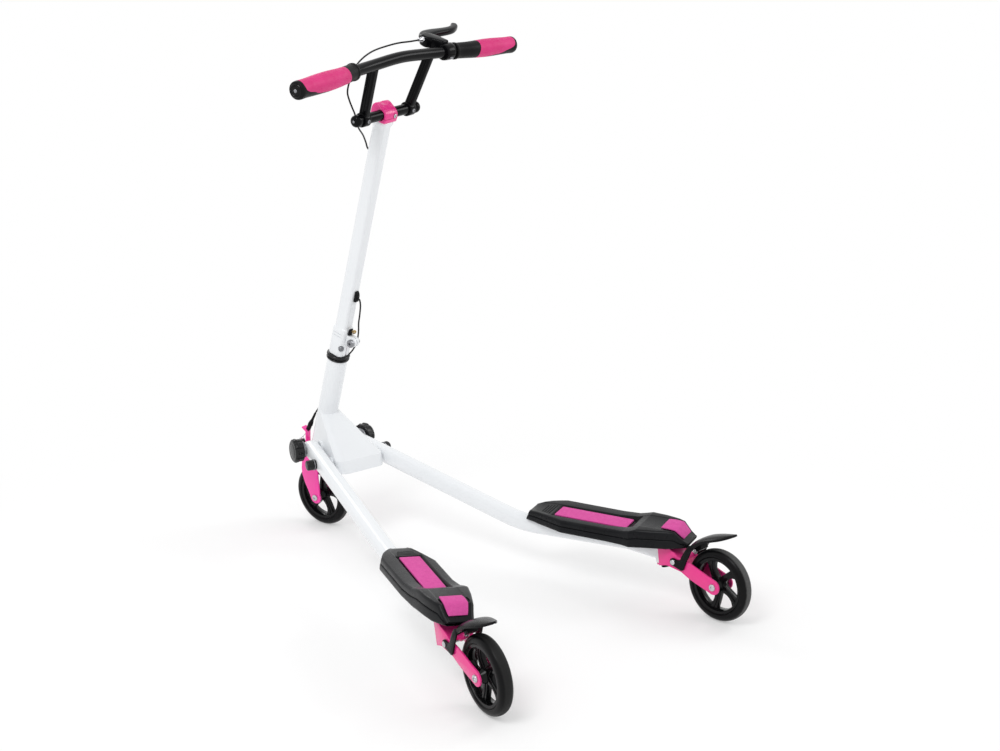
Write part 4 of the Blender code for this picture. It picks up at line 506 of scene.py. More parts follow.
# The profile of a plain rod with a small chamfer at each end
def plug(radius, low, high, edge):
    return [(0, low), (radius - edge, low), (radius, low + edge), (radius, high - edge),
            (radius - edge, high), (0, high)]


# The route of a coil spring
def coiled(coil, steps, along="Z"):
    points = []
    for step in range(int(coil["turns"] * steps) + 1):
        angle, height = 2 * math.pi * step / steps, coil["start"] + coil["pitch"] * step / steps
        a, b = coil["radius"] * math.cos(angle), coil["radius"] * math.sin(angle)
        points.append((a, b, height) if along == "Z" else (height, a, b))
    return points


# Half a profile of (radius, distance), with the other half before it
def mirroredHalf(profile):
    return [(radius, -x) for radius, x in reversed(profile)] + profile


# The points before and after one on a route
def neighbours(route, index):
    return route[max(0, index - 1)], route[min(len(route) - 1, index + 1)]


# A hexagon socket, sunk into a screw's head
def hexed(piece, across, depth, place, axis="X"):
    return cut(piece, rodded(across / math.sqrt(3), -depth, depth, axis, 6, at=place))


# A piece of one side has that side in its name, and is mirrored for the left
def finished(piece, name, body, slot, look=None, stands=None, side=None, mirror=True, smooth=35,
             matrix=None, joined=None):
    enter(piece)
    weld("finished")
    bpy.ops.mesh.dissolve_degenerate(threshold=nearness["finished"])
    leave()
    matrix = homes.get(body) if matrix is None else matrix
    if matrix is not None:
        placed(piece, matrix, mirror and side == "left")
    choose(piece)
    bpy.ops.object.shade_smooth_by_angle(angle=math.radians(smooth))
    tail = f"_{side}" if side else ""
    piece.name = piece.data.name = name + tail
    piece.data.materials.clear()
    piece.data.materials.append(looks[look or slot])
    if joined:
        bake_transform(piece)
    else:
        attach(piece, body)
    if stands:
        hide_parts(stands + tail)
    return piece


# Brake cable, in the steering frame: over the bar into the column, then from its back to the fork
cables = {
    "radius": 0.0015, "lengths": {"upper": 0.41, "lower": 0.30},
    "upper": mm((78.5, 15.7, 985.7), (74.5, 16, 985.6), (62.6, 22.5, 982.6), (45.9, 28, 980.8),
                (24.4, 32, 978), (-11.9, 34, 973.1), (-41.4, 30, 967.8), (-66.7, 24, 959.4),
                (-86, 16, 949.4), (-97.3, 10, 937.5), (-97.5, 10, 919.7), (-89, 10, 904.1),
                (-77.1, 10, 887.8), (-64.3, 11.5, 872.5), (-46.3, 14.5, 846.1), (-23.1, 19, 825.3),
                (-8, 21.5, 808), (-4, 19.5, 798.5), (-4, 15, 796), (-4, 9.5, 796)),
    "lower": mm((0, -21.6, 511), (0, -24.6, 510.6), (0.8, -28.2, 500), (2, -29.7, 480),
                (3, -30, 464), (8.5, -29, 446), (14, -26.5, 428), (18, -22.5, 410),
                (21.5, -15, 392), (23, -6.5, 376), (23.2, 2, 356), (21.5, 9.5, 333), (18, 15, 305),
                (13.5, 19.5, 278), (8, 23.5, 256), (2, 26.6, 241), (0, 27.9, 234.5)),
}
for half, length in cables["lengths"].items():
    cable = placed(piped(cables[half], cables["radius"], sides=4, fine=8), steering)
    cable.name = f"brake_cable_{half}_sheath"
    cable.data.materials.append(looks["core_gloss"])
    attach(cable, "steering")
    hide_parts(f"brake_cable_{half}")
    2 * cables["radius"]
print("brake cables laid")


# Main frame: a head tube and a hollow wedge that spreads back to the arms
mainFrame = {
    "tube": (0.01925, 0.1760, 0.3744, 0.0008), "bore": (0.0163, 0.15, 0.40), "skin": 0.01895,
    "neck": (0.1780, 0.2600), "rear": mm((51.5, 264.5, 174), (50, 258.5, 151)), "corner": 0.016,
    "soft": (0.0072, 4), "boss": (0.0130, -0.0345, -0.0148), "stop": (0.0090, -0.0260, -0.0148),
    "boltHole": (0.0053, -0.0328, 0.01), "index": (0, -0.0580, -0.0128),
}
loops = [[headFrame @ Vector((x, y, up)) for x, y in arc((0, 0), mainFrame["skin"], 0, 350, 35)]
         for up in mainFrame["neck"]]
corner = mainFrame["corner"]
for half, back, up in mainFrame["rear"]:
    edge = arc((half - corner, back + corner), corner, -88, -4, 5)
    loops.append([(x, y, up) for x, y in edge] + [(-x, y, up) for x, y in reversed(edge)])
wedge = drawLoops(loops)
bpy.ops.mesh.select_all(action="SELECT")
bpy.ops.mesh.convex_hull()
outward()
bevelled(leave(), *mainFrame["soft"])
add(wedge, spun(plug(*mainFrame["tube"]), steps=64, matrix=headFrame))
for side in sides:
    pose = handed(pivotFrames, side)
    add(wedge, rodded(*mainFrame["boss"], "X", 48, **pose),
        rodded(*mainFrame["stop"], "X", 36, at=mainFrame["index"], **pose))
    cut(wedge, rodded(*mainFrame["boltHole"], "X", 32, **pose))
cut(wedge, rodded(*mainFrame["bore"], steps=64, matrix=headFrame))
finished(wedge, "main_frame_shell", "frame", "white_paint", stands="main_frame", smooth=30)

headset = {
    "lower": mm((13.3, 169.3), (16.3, 169.3), (17.8, 170.2), (18.4, 171.5), (18.4, 172.8),
                (18, 173.1), (18.4, 173.4), (18.4, 175.7), (13.3, 175.7)),
    "collar": mm((13.3, 374.7), (20.5, 374.7), (21.3, 375.2), (21.7, 376.2), (21.7, 377.2),
                 (21.2, 377.9), (19.8, 378.4), (19.2, 378.9), (19.2, 379.6), (19.8, 380.1),
                 (21, 380.6), (21.9, 381.5), (22.1, 382.7), (21.9, 383.8), (21.1, 384.9),
                 (19.6, 385.8), (17.8, 386.4), (13.3, 386.4)),
}
race = spun(headset["lower"], steps=72, ring=True)
finished(race, "lower_race", "frame", "black_plastic", stands="headset_bearing_lower",
         matrix=headFrame)
collar = spun(headset["collar"], steps=72, ring=True)
finished(collar, "collar_ring", "steering", "black_plastic", "knob_plastic", "headset_collar")
print("main frame and headset done")


# Steering column: a rounded rectangular tube on a clamp foot with split ears. A ring is the size
# it takes, its height and how much narrower it is.
column = {
    "sizes": {"foot": (0.0320, 0.0330, 0.0100), "tube": (0.0250, 0.0270, 0.0070),
              "lip": (0.0310, 0.0315, 0.0080)},
    "low": 0.3867, "shoulder": 0.4440, "top": 0.8572, "ear": (0.0070, 0.0280, 0.4235, 0.0100),
    "neck": -0.0120, "bevel": (0.0012, 2), "below": 0.01, "socket": (0.0133, 0.4365),
    "split": (-0.001, -0.05, 0.001, -0.008), "slot": (-0.03, -0.011, -0.0148, 0.011),
    "slots": (0.4275, 0.4335), "slotHalf": 0.0006,
    "boltY": -0.0305, "boltHole": (0.0031, -0.02, 0.02),
    "buttonUp": 0.4050, "buttonPocket": (0.0055, -0.0035, 0.01),
    "port": (-0.0040, 0, 0.7960), "portHole": (0.0024, 0.0085, 0.02),
}
low, shoulder, top = column["low"], column["shoulder"], column["top"]
rings = []
for size, up, shrink in (
        ("foot", low, 0.0014), ("foot", low + 0.0007, 0), ("foot", shoulder - 0.0046, 0),
        ("foot", shoulder - 0.0030, 0.0010), ("foot", shoulder - 0.0016, 0.0032),
        ("tube", shoulder + 0.0006, -0.0010), ("tube", shoulder + 0.0024, 0),
        ("tube", top - 0.0150, 0), ("tube", top - 0.0105, -0.0012), ("lip", top - 0.0050, 0.0008),
        ("lip", top - 0.0034, 0), ("lip", top - 0.0008, 0), ("lip", top, 0.0014)):
    width, depth, corner = (part - shrink for part in column["sizes"][size])
    outline = roundedBox(width, depth, max(0.001, corner - shrink / 4))
    rings.append([(x, y, up) for x, y in outline])
post = skinned(rings)
half, back, up, curve = column["ear"]
neck, slotHalf, below = column["neck"], column["slotHalf"], low - column["below"]
ears = [(neck, up - curve), *arc((-back, up), curve, 270, 90, 14), (neck, up + curve)]
add(post, slab(ears, -half, half, "X", bevel=column["bevel"]))
radius, high = column["socket"]
cut(post, rodded(radius, below, high, steps=48),
    slab(box(*column["split"]), below, shoulder - 0.004),
    *(slab(box(*column["slot"]), height - slotHalf, height + slotHalf)
      for height in column["slots"]))
boltSpot = (0, column["boltY"], up)
width, depth, corner = column["sizes"]["foot"]
away = Vector((-1, -1, 0)).normalized()
buttonSeat = Vector((-width / 2, -depth / 2, column["buttonUp"]))
buttonSeat -= away * (corner * (math.sqrt(2) - 1))
cut(post, rodded(*column["boltHole"], "X", at=boltSpot),
    aimed(rodded(*column["buttonPocket"]), buttonSeat, buttonSeat + away),
    rodded(*column["portHole"], "Y", at=column["port"]))
finished(post, "column_tube", "steering", "white_paint", stands="steering_column")

fittings = {
    "boltSocket": (0.005, 0.003, (-0.0133, 0, 0)), "hookSides": (-0.0062, 0.0008),
    "buttonSocket": (0.0026, 0.0012, (0, 0, 0.0046), "Z"),
    "bolt": mm((0, -13.3), (4.6, -13.3), (6.8, -13.1), (7.5, -12.2), (7.5, -7.9), (7.2, -7.5),
               (2.8, -7.4), (2.8, 7.4), (5, 7.4), (5, 11), (2.8, 11), (2.8, 11.8), (0, 11.8)),
    "button": mm((0, -1.6), (5, -1.6), (5, 2.4), (4.6, 3.5), (4, 4.1), (3.4, 4.2), (3.1, 3.8),
                 (2.8, 4.2), (0, 4.4)),
    "hook": mm((-16.8, 434), (-20.5, 434.4), (-22.2, 435.6), (-22.8, 437.5), (-21.7, 439),
               (-20.7, 440.2), (-20.7, 442.8), (-21.6, 444.4), (-22.9, 445.6), (-22.6, 447.4),
               (-21.1, 448.1), (-19, 447.6), (-17.8, 446.2), (-17.6, 444.2), (-17.7, 442.4),
               (-16.8, 440.8)),
}
bolt = hexed(spun(fittings["bolt"], "X", 40), *fittings["boltSocket"])
shifted(bolt, *boltSpot)
finished(bolt, "column_bolt", "steering", "bright_steel", "grey_steel", "column_clamp_bolt")
button = hexed(spun(fittings["button"]), *fittings["buttonSocket"])
aimed(button, buttonSeat, buttonSeat + away)
finished(button, "column_button_head", "button", "bright_steel", "grey_steel", "column_button")
hook = slab(fittings["hook"], *fittings["hookSides"], "X", bevel=(0.0006, 2))
finished(hook, "cable_clip", "steering", "black_plastic", stands="cable_hook")

# A small brass torsion spring sits beside the clip
spring = {"radius": 0.0030, "wire": 0.00055, "turns": 3.5, "pitch": 0.0015, "start": 0,
          "place": (0.0045, -0.0206, 0.4385)}
coil = meshed(piped(coiled(spring, 10, "X"), spring["wire"], sides=2, fine=3))
shifted(coil, *spring["place"])
finished(coil, "clip_spring", "steering", "bright_steel", "brass", smooth=60)
print("column done")


# Fork: crown, two tapered blades, steerer, and a bracket with two brake lugs
fork = {
    "half": 0.0245, "inner": 0.0205, "crown": (0.0215, 0.1495, 0.1690), "eye": 0.0125,
    "blade": mm((20.5, 163), (20.5, 132), (19, 121), (14.7, 108.4), (8, 98.7), (1, 90), (-6, 82.6),
                (-12, 76)),
    "rear": mm((-30.4, 103.6), (-24.8, 119), (-19.5, 134.2), (-20.5, 150), (-20.5, 163)),
    "bracket": mm((15, 156), (30, 156), (34.2, 163), (36.5, 173), (39.5, 186.8), (50, 190),
                  (50, 193), (38.5, 191.2), (36.6, 189.5), (33.5, 174), (31.2, 165.5), (27.5, 160),
                  (15, 160)),
    "lug": mm((18, 152), (18, 164), (30, 160)),
    "steerer": (0.0130, 0.1525, 0.4359), "bracketHalf": 0.006, "lugs": (-0.0095, 0.0065),
    "lugThick": 0.003, "brakePivot": (0.0360, 0.1420), "axleHole": (0.0043, -0.04, 0.04),
    "lugHole": (0.0025, -0.02, 0.02), "ferruleHole": (0.0029, -0.006, 0.006),
    "ferrule": mm((0, 38.5, 189.5), (0, 28.1, 233.9)),
}
axle = (steering.inverted() @ Vector(joints["front_spin"]["pos_m"])).yz
depth, low, high = fork["crown"]
half, inner = fork["half"], fork["inner"]
crown = slab(box(-half, -depth, half, depth), low, high, bevel=(0.0045, 5))
outline = [*fork["blade"], *arc(axle, fork["eye"], -45, -225, 18), *fork["rear"]]
lug = [*fork["lug"], *arc(fork["brakePivot"], 0.0060, 60, -120, 12)]
add(crown, slab(outline, -half, -inner, "X", bevel=(0.0011, 3)),
    slab(outline, inner, half, "X", bevel=(0.0011, 3)),
    rodded(*fork["steerer"], steps=56, bevel=(0.0010, 2)),
    slab(fork["bracket"], -fork["bracketHalf"], fork["bracketHalf"], "X", bevel=(0.0006, 2)),
    *(slab(lug, near, near + fork["lugThick"], "X", bevel=(0.0005, 2)) for near in fork["lugs"]))
ferruleSeat, ferruleTop = (Vector(spot) for spot in fork["ferrule"])
brakePivot = (0, *fork["brakePivot"])
cut(crown, rodded(*fork["axleHole"], "X", at=(0, *axle)),
    rodded(*fork["lugHole"], "X", at=brakePivot),
    aimed(rodded(*fork["ferruleHole"]), ferruleSeat, ferruleTop))
finished(crown, "fork_body", "steering", "pink_paint", "fork_paint", "fork")

# Front brake: a spoon with a rubbing pad, its cable stop and the bare wire between them
frontBrake = {
    "link": [*arc(fork["brakePivot"], 0.0062, -60, 40, 8),
             *arc((0.0495, 0.1590), 0.0040, -40, 130, 12),
             *arc(fork["brakePivot"], 0.0062, 130, 150, 3),
             *mm((26.2, 140.4), (19, 137.6), (15, 134.5), (13, 130), (16, 126.2), (21, 124.5))],
    "stop": mm((0, -5), (2.4, -5), (2.6, -4.6), (2.6, 2.5), (4.3, 2.5), (4.5, 2.9), (4.5, 7.2),
               (3.9, 7.8), (3.9, 8.6), (4.5, 9.2), (4.5, 12.8), (5, 15), (5, 16.3), (4.1, 17.4),
               (4.7, 18.6), (3.7, 20), (4.3, 21.3), (3.3, 22.8), (3.8, 24.3), (2.9, 26.2),
               (2.6, 30), (2.1, 45.5), (0, 45.5)),
    "shoe": (0.0020, 0.0080, 0.0085), "linkHalf": 0.0060, "pin": (0.0022, -0.0105, 0.0105),
    "ribs": (-0.0034, 0.0, 0.0034), "rib": (0.0009, 0.0, 0.05), "ribPlace": (0.043, 0.1505),
    "wire": 0.0007, "wireLead": 0.0052, "wireEnd": (0, 0.0495, 0.1650),
    "nipple": (0.0024, -0.0042, 0.0042), "nipplePlace": (0, 0.0495, 0.1636),
}
near, far, half = frontBrake["shoe"]
shoe = arc(axle, wheelRadius + near, 34, 60, 14) + arc(axle, wheelRadius + far, 60, 34, 14)
shoe = slab(shoe, -half, half, "X", bevel=(0.0009, 2))
half = frontBrake["linkHalf"]
add(shoe, slab(frontBrake["link"], -half, half, "X", bevel=(0.0012, 3)),
    rodded(*frontBrake["pin"], "X", at=brakePivot))
cut(shoe, *(rodded(*frontBrake["rib"], steps=12, at=(x, *frontBrake["ribPlace"]))
            for x in frontBrake["ribs"]))
finished(shoe, "front_spoon", "front_brake", "black_plastic", stands="brake_arm")
stop = aimed(spun(frontBrake["stop"], steps=36), ferruleSeat, ferruleTop)
finished(stop, "cable_stop", "steering", "black_rubber", stands="brake_ferrule", smooth=50)
# The wire bends between its stop on the fork and its nipple on the brake arm
lead = (ferruleSeat - ferruleTop).normalized() * frontBrake["wireLead"]
wireTop, wireEnd = ferruleSeat + lead, Vector(frontBrake["wireEnd"])
route = [wireTop, wireTop.lerp(wireEnd, 0.33), wireTop.lerp(wireEnd, 0.67), wireEnd]
wire = meshed(piped(route, frontBrake["wire"], sides=3, fine=12))
finished(wire, "brake_wire", "steering", "bright_steel",
         joined=("front_brake", steering @ wireTop, steering @ wireEnd))
nipple = rodded(*frontBrake["nipple"], "X", 24, bevel=(0.0004, 2), at=frontBrake["nipplePlace"])
finished(nipple, "brake_nipple", "front_brake", "bright_steel")
print("fork and front brake done")


# Handlebar route, right half: across, ahead of the steering axis, up along it
bar = {
    "radius": 0.0098, "half": 0.2840, "up": 0.9735, "tip": 0.0005, "saddle": 0.0101,
    "route": mm((0, -14, 976.5), (75, -16.5, 973.5), (136.5, -23.5, 973), (175, -31, 973.2),
                (230, -36, 972.5), (284, -40.5, 971.5)),
}


def smoothRoute(points, steps):
    spots = [Vector(point) for point in points]
    spots = [2 * spots[0] - spots[1], *spots, 2 * spots[-1] - spots[-2]]
    route = []
    for before, start, end, after in zip(spots, spots[1:], spots[2:], spots[3:]):
        for step in range(steps):
            t = step / steps
            route.append(0.5 * (
                2 * start + (end - before) * t + (2 * before - 5 * start + 4 * end - after) * t * t
                + (3 * start - before - 3 * end + after) * t * t * t))
    return route + [spots[-2]]


barRoute = [(-x, y, z) for x, y, z in reversed(bar["route"][1:])] + bar["route"]
barPath = smoothRoute(barRoute, 10)


def barAt(x):
    for start, end in zip(barPath, barPath[1:]):
        if start.x <= x <= end.x:
            break
    return start.lerp(end, (x - start.x) / (end.x - start.x)), (end - start).normalized()


# A loop round a point, square to the heading
def squareLoop(centre, heading, section):
    across = heading.cross(Vector((0, 0, 1))).normalized()
    above = across.cross(heading)
    return [centre + across * a + above * b for a, b in section]


# A skin over (x, radius) stations on the bar, for anything that sleeves it
def barSkin(stations, steps=44):
    rings = []
    for x, radius in stations:
        centre, heading = barAt(min(x, bar["half"] - bar["tip"]))
        centre = centre + heading * max(0.0, x - bar["half"] + bar["tip"])
        rings.append(squareLoop(
            centre, heading, arc((0, 0), radius, 0, 360 - 360 / steps, steps - 1)))
    return skinned(rings)


def barSaddle(*stations):
    return barSkin([(x, bar["saddle"]) for x in stations])


tube = meshed(piped(barRoute, bar["radius"], sides=12, fine=10))
finished(tube, "bar_tube", "steering", "black_paint", stands="handlebar", smooth=60)

grip = {
    "body": mm((133, 14), (133.4, 14.7), (134, 14.9), (137, 14.9), (137.6, 14.7), (138.2, 14),
               (139.5, 13.8), (150, 14), (165, 14.3), (180, 14.9), (195, 15.6), (210, 16),
               (225, 16), (240, 15.7), (255, 15.2), (269, 14.8), (277, 14.9), (280, 15.1),
               (284.5, 15), (286.8, 14.4), (288, 13.4), (288.5, 12)),
    "wall": 0.0024, "starts": {"left": 0.156, "right": 0.180}, "end": 0.2740, "gap": 0.0003,
    "inner": (0.1380, 0.2830), "block": (-0.08, 0.02), "capInset": 0.0006, "capOut": 0.0050,
    # The sleeve's outline as (distance, height): past its start, then past its end
    "slant": ((0, -0.03), (0.003, 0.0), (0.012, 0.03)), "corner": ((0.0070, 0.03), (0.0080, 0.018)),
    # The rest of it, a low edge that runs back to the start, as distances from the end
    "edge": mm((7.5, 10), (4, 3), (-5, -1.5), (-17, -4), (-30, -8.5), (-48, -10.5), (-62, -12.8),
               (-72, -19), (-74, -30)),
    "recess": (0.120, 0.150, 0.180, 0.20, 0.23, 0.26, 0.30), "clear": 0.03,
    "cap": mm((0, -0.2), (11.2, -0.2), (11.2, 0.4), (10.4, 1.1), (8.8, 1.2), (8.2, 0.6), (7.2, 0.6),
              (6.6, 1.3), (3.6, 1.7), (0, 1.8)),
    "dot": mm((0, 1), (2.9, 1), (2.9, 1.8), (2.2, 2.3), (0, 2.5)),
}
body = grip["body"]
inner = [(x, radius - grip["wall"]) for x, radius in body[6:-5]]
inner = [(grip["inner"][0], inner[0][1]), *inner, (grip["inner"][1], inner[-1][1])]
end, gap = grip["end"], grip["gap"]
lowEdge = [point.xy for point in smoothRoute([(end + x, y, 0) for x, y in grip["edge"]], 5)]
centre, heading = barAt(bar["half"] - grip["capInset"])
tip = centre + heading * grip["capOut"]
for side in sides:
    start = grip["starts"][side]
    slant = [(start + x, up) for x, up in grip["slant"]]
    corner = [(end + x, up) for x, up in grip["corner"]]
    wider = [(x - gap, up) for x, up in slant] + [(x + gap, up) for x, up in corner]
    wider += [(x + gap, y - gap) for x, y in lowEdge]
    blocks = [slab([(x, bar["up"] + up) for x, up in edge], *grip["block"], "Y")
              for edge in (wider, slant + corner + lowEdge)]
    recess = common(barSkin([(x, grip["clear"]) for x in grip["recess"]], 24), blocks[0])
    core = cut(barSkin(body), cut(recess, barSkin(inner)))
    finished(core, "grip_body", "steering", "black_rubber", stands="grip_core", side=side)
    sleeve = common(barSkin(body), blocks[1])
    cut(sleeve, barSkin([(x, radius + gap) for x, radius in inner]))
    finished(sleeve, "grip_skin", "steering", "pink_grip", stands="grip_sleeve", side=side)
    # The bar's end plug: a flanged cap with a ring and a pale dot
    cap = aimed(spun(grip["cap"]), tip, tip + heading)
    finished(cap, "grip_cap", "steering", "black_rubber", "core_gloss", side=side)
    dot = aimed(spun(grip["dot"], steps=32), tip, tip + heading)
    finished(dot, "grip_dot", "steering", "bright_steel", "grey_steel", side=side)
print("bar and grips done")


# Crossbar with ball ends, on two grooved struts. The ball is a list of (share of its radius,
# distance past the crossbar's half length).
cross = {
    "place": (0, -0.0046, 0.8698), "half": 0.0740, "radius": 0.0094, "end": 0.0106,
    "ball": ((1, 0.0), (1, 0.0052), (0.97, 0.0070), (0.88, 0.0090), (0.70, 0.0108), (0.45, 0.0119)),
    "dot": mm((0, 11.2), (2.3, 11.2), (2.3, 12.2), (1.6, 12.6), (0, 12.7)),
    "footX": 0.0605, "topX": 0.0745, "width": 0.0120, "depth": 0.0170, "corner": 0.003,
    "foot": 0.0023, "drop": 0.0031, "eye": (0.0032, 0.0078), "groove": 0.0004,
    "screw": mm((0, -2), (3.4, -2), (3.4, 0.6), (2.9, 1.3), (1.4, 1.6), (1.4, 0.4), (0, 0.4)),
    "screwPlace": (-0.0030, 0.0012), "saddle": (0.045, 0.060, 0.075, 0.090, 0.105),
    "collar": ((0, -0.0012), (0.0008, -0.0008)),
    "dimple": ((0.0030, 0.0123), (0.0026, 0.0119), (0, 0.0118)),
    # The flute in a strut's side: how far in, and how high, or from its edge where negative
    "flute": ((0.0005, -0.0045), (0.0012, -0.0049), (0.0012, 0.0013), (0.0005, 0.0009)),
}
half, small, big = cross["half"], cross["radius"], cross["end"]
ball = [(small + grown, half + past) for grown, past in cross["collar"]]
ball += [(big * share, half + past) for share, past in cross["ball"]]
ball += [(radius, half + past) for radius, past in cross["dimple"]]
rail = spun(mirroredHalf(ball), "X", 56, at=cross["place"])
finished(rail, "cross_rail", "steering", "black_paint", stands="crossbar")
halfW, halfD = cross["width"] / 2, cross["depth"] / 2
quarter = arc((halfW - cross["corner"], halfD - cross["corner"]), cross["corner"], 90, 0, 6)
quarter.append((halfW, halfD - 0.0040))
quarter += [(halfW - into, up + (halfD if up < 0 else 0)) for into, up in cross["flute"]]
quarter.append((halfW, 0.0005))
section = quarter + [(x, -y) for x, y in reversed(quarter)]
section += [(-x, -y) for x, y in quarter] + [(-x, y) for x, y in reversed(quarter)]
x, y, z = cross["footX"], *cross["place"][1:]
foot = Vector((x, y, z + cross["foot"]))
top = barAt(cross["topX"])[0] - Vector((0, 0, cross["drop"]))
back, rise = cross["screwPlace"]
head = Vector((x, y - small + back, z + rise))
eye, eyeHalf = cross["eye"]
for side in sides:
    dot = [(radius, half + past) for radius, past in cross["dot"]]
    finished(spun(dot, "X", 28, at=cross["place"]), "cross_dot", "steering", "bright_steel",
             "grey_steel", side=side)
    strut = skinned([[(end.x + a, end.y + b, end.z) for a, b in section] for end in (foot, top)])
    add(strut, rodded(small + eye, -eyeHalf, eyeHalf, "X", 56, bevel=(0.0009, 2), at=(x, y, z)))
    cut(strut, rodded(small + cross["groove"], -0.02, 0.02, "X", 56, at=(x, y, z)),
        barSaddle(*cross["saddle"]))
    finished(strut, "strut_bar", "steering", "black_paint", stands="strut", side=side)
    screw = aimed(spun(cross["screw"], steps=28), head, head + Vector((0, -1, 0)))
    finished(screw, "strut_screw", "steering", "bright_steel", "grey_steel", side=side)

stem = {
    "half": 0.0170,
    "outline": mm((14.5, 857.5), (15.8, 859), (16.6, 863), (17.1, 868), (17.2, 873.5), (16.5, 880),
                  (14.7, 884), (12, 886.8), (9, 888.1), (5.8, 888.2), (1.5, 886.8), (-3.5, 884.2),
                  (-8.5, 881.8), (-12.5, 879.2), (-15.8, 875.8), (-17.5, 871.8), (-18.1, 867),
                  (-17.6, 861.2), (-16.7, 858.4), (-15.5, 857.5)),
    "bolt": mm((0, -1), (2.4, -1), (2.6, -0.8), (3.6, 0.2), (3.6, 0.8), (3.1, 1.2), (0, 1.2)),
    "boltPlace": (0.0085, -0.0180, cross["place"][2]),
    "boltSocket": (0.0030, 0.0012, (0, 0, 0.0012)),
    "valley": (0.0110, -0.03, 0.03), "valleyUp": 0.8965, "boltSeat": (0.0042, -0.004, 0.0014),
    "saw": (-0.03, 0.8656, -0.0120, 0.8663),
}
clamp = slab(stem["outline"], -stem["half"], stem["half"], "X", bevel=(0.0030, 4, 50))
# A shallow valley between its two lobes, the bar's bore, a saw cut and the bolt's seat
cut(clamp, rodded(*stem["valley"], "Y", 48, at=(0, 0, stem["valleyUp"])),
    rodded(small + cross["groove"], -0.04, 0.04, "X", 56, at=cross["place"]),
    slab(box(*stem["saw"]), -0.03, 0.03, "X"),
    rodded(*stem["boltSeat"], "Y", 36, at=stem["boltPlace"]))
finished(clamp, "stem_block", "steering", "pink_paint", stands="stem_clamp")
bolt = hexed(spun(stem["bolt"], steps=36), *stem["boltSocket"], "Z")
placed(bolt, moved(*stem["boltPlace"]) @ rotated(180, "Z") @ rotated(-90, "X"))
finished(bolt, "stem_screw", "steering", "bright_steel", stands="stem_bolt")
print("crossbar and stem done")


# Hand brake: a perch clamped round the bar, a pressed lever and a knurled cable adjuster. Each
# row of the blade is x, y and the width there.
handBrake = {
    "perchX": 0.1160, "up": 0.9820, "thick": 0.0090, "pivot": (0.1085, 0.0210),
    "blade": mm((103, 17.5, 13.5), (111, 28, 18.5), (126, 35.5, 21.5), (145, 37, 20.5),
                (165, 35.8, 18), (183, 35.2, 16), (198, 36.2, 14.5), (210, 39.8, 13.5),
                (218.5, 44.5, 14), (222.5, 48, 12.5)),
    "ring": mm((6, -10), (13, -10), (13.8, -9), (14.3, -6), (14.6, 0), (14.8, 6), (14.9, 12.2),
               (14.2, 13.4), (6, 13.4)),
    "jaw": mm((130, 4), (130, 40), (97.5, 40), (97.5, 8), (108, 8)),
    "adjuster": mm((93.5, 15, 986), (79, 15.7, 985.7)),
    "screw": mm((0, -1), (3.4, -1), (3.4, 2.2), (3, 2.7), (0, 2.7)),
    "screwSocket": (0.0030, 0.0016, (0, 0, 0.0027)), "screwPlace": (0, -0.0136, -0.0052),
    "screwLean": (0, -0.35, -1), "eye": (0.0070, 0.0022), "bore": (0.090, 0.105, 0.120, 0.140),
    "saw": 0.0004, "cover": 0.0052, "pinHole": 0.0025, "nose": (0.0035, -0.004, 0.008),
    "jawWall": 0.0030, "barrel": (0.0018, 0.0060), "flutes": (72, 0.0045, 0.0041),
}
perchX, up, thick = handBrake["perchX"], handBrake["up"], handBrake["thick"]
pinSpot = (*handBrake["pivot"], 0)
centre = barAt(perchX)[0]
ring = spun(handBrake["ring"], "X", 56, ring=True, at=centre)
low, high = up - thick / 2 - handBrake["cover"], up + thick / 2 + handBrake["cover"]
horn = [(perchX + 0.009, centre.y + 0.004), (perchX + 0.0085, 0.010), (perchX + 0.0062, 0.0175),
        (perchX + 0.0030, 0.0240), *arc(handBrake["pivot"], 0.0085, 30, 120, 12),
        *mm((98.5, 26.2), (96, 23), (93.7, 16), (93.2, 11), (95.5, 6.8), (100, 4)),
        (perchX - 0.009, centre.y + 0.004)]
add(ring, slab(horn, low, high, bevel=(0.0036, 4)))
adjSeat, adjTip = (Vector(spot) for spot in handBrake["adjuster"])
saw = handBrake["saw"]
sawCut = box(centre.y - 0.03, centre.z - saw, centre.y - 0.009, centre.z + saw)
cut(ring, barSaddle(*handBrake["bore"]),
    slab(handBrake["jaw"], low + handBrake["jawWall"], high - handBrake["jawWall"]),
    rodded(handBrake["pinHole"], low - 0.01, high + 0.01, steps=32, at=pinSpot),
    aimed(rodded(*handBrake["nose"]), adjSeat, adjTip),
    slab(sawCut, perchX - 0.02, perchX + 0.02, "X"))
finished(ring, "perch_body", "steering", "black_paint", stands="brake_perch")
screw = hexed(spun(handBrake["screw"], steps=32), *handBrake["screwSocket"], "Z")
head = centre + Vector(handBrake["screwPlace"])
aimed(screw, head, head + Vector(handBrake["screwLean"]))
finished(screw, "perch_screw", "steering", "bright_steel", "grey_steel")


# An oval between an ellipse and a box: the lower the power, the squarer it is
def softSection(width, height, steps, power):
    section = []
    for index in range(steps):
        angle = 2 * math.pi * (index + 0.5) / steps
        across, above = math.cos(angle), math.sin(angle)
        section.append((width / 2 * math.copysign(abs(across) ** power, across),
                        height / 2 * math.copysign(abs(above) ** power, above)))
    return section


# Rings along a route of points that carry their own section sizes
def sweptRings(route, sizes, steps, power):
    rings = []
    for index, point in enumerate(route):
        before, after = neighbours(route, index)
        rings.append(squareLoop(
            point, (after - before).normalized(), softSection(*sizes[index], steps, power)))
    return rings


